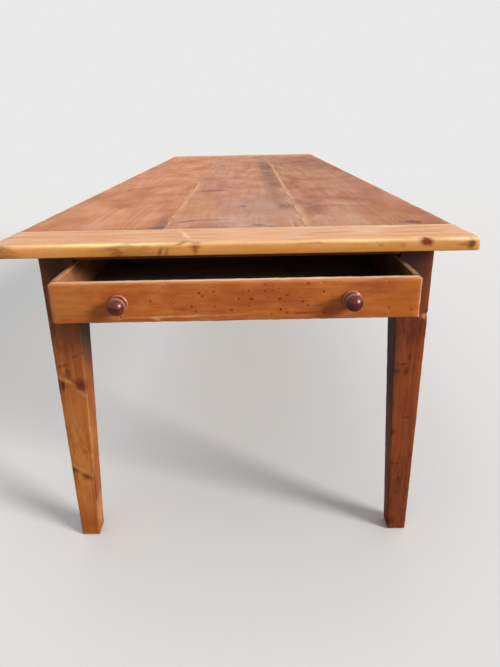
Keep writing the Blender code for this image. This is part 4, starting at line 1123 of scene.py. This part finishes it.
def bore_worm_holes(front, near):
    """Bore the flight holes, and a scatter of smaller ones, into the drawer's front."""
    chance = random.Random(WORM_SEED)
    holes = list(WORM_HOLES)
    while len(holes) < WORM_COUNT:
        hole = (chance.gauss(*WORM_SPREAD), chance.uniform(*WORM_HEIGHTS), chance.uniform(*WORM_WIDTHS))
        apart = min(math.dist(hole[:2], other[:2]) for other in holes)
        if (apart > WORMS_APART and WORM_ENDS[0] < hole[0] < WORM_ENDS[1]
                and abs(abs(hole[0]) - KNOB_ASIDE) > KNOB_ROOM):
            holes.append(hole)
    for x, z, width in holes:
        start = Vector((x * MM, near - WORM_DEPTH, z * MM))
        end = start + Vector((0, 2 * WORM_DEPTH, chance.uniform(-1, 1) * MM))
        use_up(front, start_rod("worm_bit", WORM_SIDES, width * MM / 2, start, end), "DIFFERENCE")
    bored = front.data.attributes.new("bored", "FLOAT", "FACE")
    for face, value in zip(front.data.polygons, bored.data):
        x, y, z = face.center / MM
        place = (x, y - near / MM, z)
        value.value = float(all(low < size < high for size, (low, high) in zip(place, BORED_PLACES)))


def make_drawer_front():
    """The drawer's front: pale along its top from a painted highlight, wormed, with a split along its
    lower edge.
    """
    low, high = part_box("drawer_front")
    radii = {pair("near", "top"): FRONT_ROUND, pair("near", "under"): FRONT_ROUND,
             pair("far", "top"): BACK_ARRIS_ROUND}
    for side in SIDES:
        radii[pair(side, "near")] = FRONT_END_ROUND
        radii[pair(side, "top")] = FRONT_ROUND
    front = make_board("drawer_front", "drawer_front", low, high, CLOSE_CUTS, radii, JOINT_ROUND)
    bore_worm_holes(front, low.y)
    cut_by(front, SOCKET_EASE, "drawer_side_left", "drawer_side_right", "drawer_bottom",
           "knob_left", "knob_right")
    finish(front, "drawer_front", old_pine(
        "waxed_pine_drawer_front", "X", (0, -1300, 590),
        ("#B86325", "#8E4418", "#A34C1E", "#C87A3C", "#F0C096"),
        ring=4.5, figure=0.2, cloud=(90, 30), mottle=0.7, bloom=0.6, flecks=0.7, rubbed=0.2, seed=60.0,
        marks=DRAWER_FRONT_MARKS_AND_HIGHLIGHTS))


def make_drawer_box():
    """The sides, dovetailed into the front and back, and the bottom in its groove."""
    radii = {pair(side, "top"): DRAWER_ROUND for side in SIDES}
    # The right side's darker tones are painted shade inside the drawer, where that side looks away from
    # the light
    tones = {"left": ("#B0744C", "#8C562E", "#865436", "#C0875C"),
             "right": ("#7A5234", "#5E3E26", "#4E3420", "#7E5A3C")}
    for number, side in enumerate(SIDES):
        make_joined("drawer_side_" + side, "drawer_side", (THIN_CUTS, BOARD_CUTS, FINE_CUTS),
                    DRAWER_BOX_ROUND, ["drawer_front", "drawer_back"], ["drawer_bottom"],
                    bare_pine("rubbed_pine_drawer_side_" + side, "Y", tones[side],
                              seed=50.0 + number), radii)
    inside = bare_pine("dusty_pine_drawer_inside", "X",
                       ("#80726A", "#665850", "#544842", "#8E8076"), seed=55.0)
    make_joined("drawer_back", "drawer_back", (BOARD_CUTS, BACK_CUTS, BOARD_CUTS), DRAWER_BOX_ROUND, [],
                ["drawer_side_left", "drawer_side_right", *NAILS], inside)
    make_joined("drawer_bottom", "drawer_bottom", SAWN_CUTS, BOTTOM_ROUND, [], NAILS, inside)


KNOB_SIDES = 40

# A knob's turned outline in millimetres: how far it stands out of the front, and its radius
KNOB_OUTLINE = [
    (-20, 8), (0.3, 8), (0.3, 16), (0.8, 17), (1.8, 17.4), (3, 17.2), (4.2, 16.6), (5.2, 15.6),
    (6, 14.2), (6.5, 12.4), (7, 11), (8, 10.2), (9.2, 10.4), (10.2, 11.4), (11.4, 12.9), (13, 14.3),
    (15, 15.4), (17.4, 16.2), (20, 16.5), (22.6, 16.2), (25, 15.4), (27.4, 14.2), (29.6, 12.7),
    (31.6, 10.8), (33.3, 8.6), (34.6, 6.2), (35.5, 3.7), (35.9, 1.2),
]


def make_knobs():
    """A knob is drawn out ring by ring from its spigot, and the second is a copy of the first."""
    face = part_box("drawer_front")[0].y
    middle = middle_of("knob_left")

    def on_axis(reach):
        return middle.x, face - reach * MM, middle.z

    start, radius = KNOB_OUTLINE[0]
    end = KNOB_OUTLINE[1][0]
    knob = start_rod("knob_left_turned", KNOB_SIDES, radius * MM, on_axis(start), on_axis(end))
    for last, (reach, radius) in zip(KNOB_OUTLINE[1:], KNOB_OUTLINE[2:]):
        tip = min(vert.co.y for vert in knob.data.vertices)
        pick(knob, "FACE", lambda face: face.normal.y < -ALONG
             and face.calc_center_median().y < tip + MERGE and len(face.verts) == KNOB_SIDES)
        bpy.ops.mesh.extrude_region_move(
            TRANSFORM_OT_translate={"value": (0, (last[0] - reach) * MM, 0)})
        ratio = radius / last[1]
        bpy.ops.transform.resize(value=(ratio, 1, ratio), center_override=on_axis(reach))
        put_down()
    wood = knob_wood()
    other = add_object("knob_right_turned", knob.data.copy())
    other.data.transform(Matrix.Translation(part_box("knob_right")[0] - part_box("knob_left")[0]))
    finish(knob, "knob_left", wood)
    finish(other, "knob_right", wood)


# Camera and studio, in metres and radians, with the lens in millimetres

CAMERA_PLACE = Vector((0.0248, -2.3929, 0.9725))
CAMERA_DIP = 0.3722
CAMERA_TURN = -0.0005
CAMERA_ROLL = -0.0188
CAMERA_LENS = 29.19

KEY_TURN = math.radians(60)
KEY_RISE = math.radians(22)
KEY_STRENGTH = 3.35
KEY_SPREAD = math.radians(20)
KEY_COLOUR = (1.0, 0.97, 0.93)
LOW_SKY = 0.2
HIGH_SKY = 0.8
PAPER = 0.82
PAPER_BOUNCE = 0.25
PAPER_FADE = (2.5, 9.0)
PAPER_SIZE = 80


def set_camera():
    camera = add_object("camera", bpy.data.cameras.new("camera"))
    camera.data.lens = CAMERA_LENS
    turn = (Matrix.Rotation(CAMERA_TURN, 4, "Z")
            @ Matrix.Rotation(math.pi / 2 - CAMERA_DIP, 4, "X")
            @ Matrix.Rotation(CAMERA_ROLL, 4, "Z"))
    camera.matrix_world = Matrix.Translation(CAMERA_PLACE) @ turn
    bpy.context.scene.camera = camera


def set_sky():
    """A pale room: the camera sees paper, and a soft sky, brighter overhead, lights the wood."""
    bpy.context.scene.view_settings.view_transform = "Standard"
    world = bpy.data.worlds.new("studio")
    world.use_nodes = True
    bpy.context.scene.world = world
    tree = world.node_tree
    path = add_node(tree, "LightPath").outputs
    seen = add_node(tree, "Math", {0: path["Is Camera Ray"], 1: path["Is Transmission Ray"]},
                    operation="MAXIMUM")
    seen = add_node(tree, "Math", {0: seen, 1: path["Is Glossy Ray"]}, operation="MAXIMUM")
    towards = add_node(tree, "TexCoord").outputs["Generated"]
    height = add_node(tree, "SeparateXYZ", {"Vector": towards}).outputs["Z"]
    sky = add_node(tree, "MapRange", {"Value": height, "To Min": LOW_SKY, "To Max": HIGH_SKY})
    shade = add_node(tree, "Mix", {0: seen, 6: sky, 7: grey(PAPER)}, data_type="RGBA")
    wire(tree, tree.nodes["Background"], {"Color": shade})


def hang_key():
    """One broad soft light from the right and in front."""
    key = bpy.data.lights.new("key", "SUN")
    key.energy = KEY_STRENGTH
    key.angle = KEY_SPREAD
    key.color = KEY_COLOUR
    lamp = add_object("key", key)
    towards = Vector((math.sin(KEY_TURN) * math.cos(KEY_RISE),
                      -math.cos(KEY_TURN) * math.cos(KEY_RISE), math.sin(KEY_RISE)))
    lamp.rotation_euler = towards.to_track_quat("Z", "Y").to_euler()


def lay_floor():
    """Pale paper that fades into the background all round, with the table's shadow on it."""
    floor = add_shape("floor", bpy.ops.mesh.primitive_plane_add, size=PAPER_SIZE)
    material, tree, shader, place = new_material("pale_paper")
    path = add_node(tree, "LightPath").outputs
    away = add_node(tree, "VectorMath", {0: place}, operation="LENGTH")
    fade = add_node(tree, "MapRange", {"Value": away, "From Min": PAPER_FADE[0],
                                       "From Max": PAPER_FADE[1]},
                    interpolation_type="SMOOTHSTEP")
    fade = add_node(tree, "Math", {0: fade, 1: path["Is Camera Ray"]}, operation="MULTIPLY")
    shade = add_node(tree, "Mix", {0: path["Is Camera Ray"], 6: grey(PAPER_BOUNCE), 7: grey(PAPER)},
                     data_type="RGBA")
    wire(tree, shader, {"Base Color": shade, "Roughness": 0.9, "Specular IOR Level": 0.1})
    glow = add_node(tree, "Emission", {"Color": grey(PAPER)})
    mixed = add_node(tree, "MixShader", {0: fade, 1: shader, 2: glow})
    wire(tree, tree.nodes["Material Output"], {"Surface": mixed})
    floor.data.materials.append(material)


make_top()
make_legs()
make_frame()
make_inner_pieces()
make_pegs()
make_metal()
make_drawer_front()
make_drawer_box()
make_knobs()
set_camera()
set_sky()
hang_key()
lay_floor()
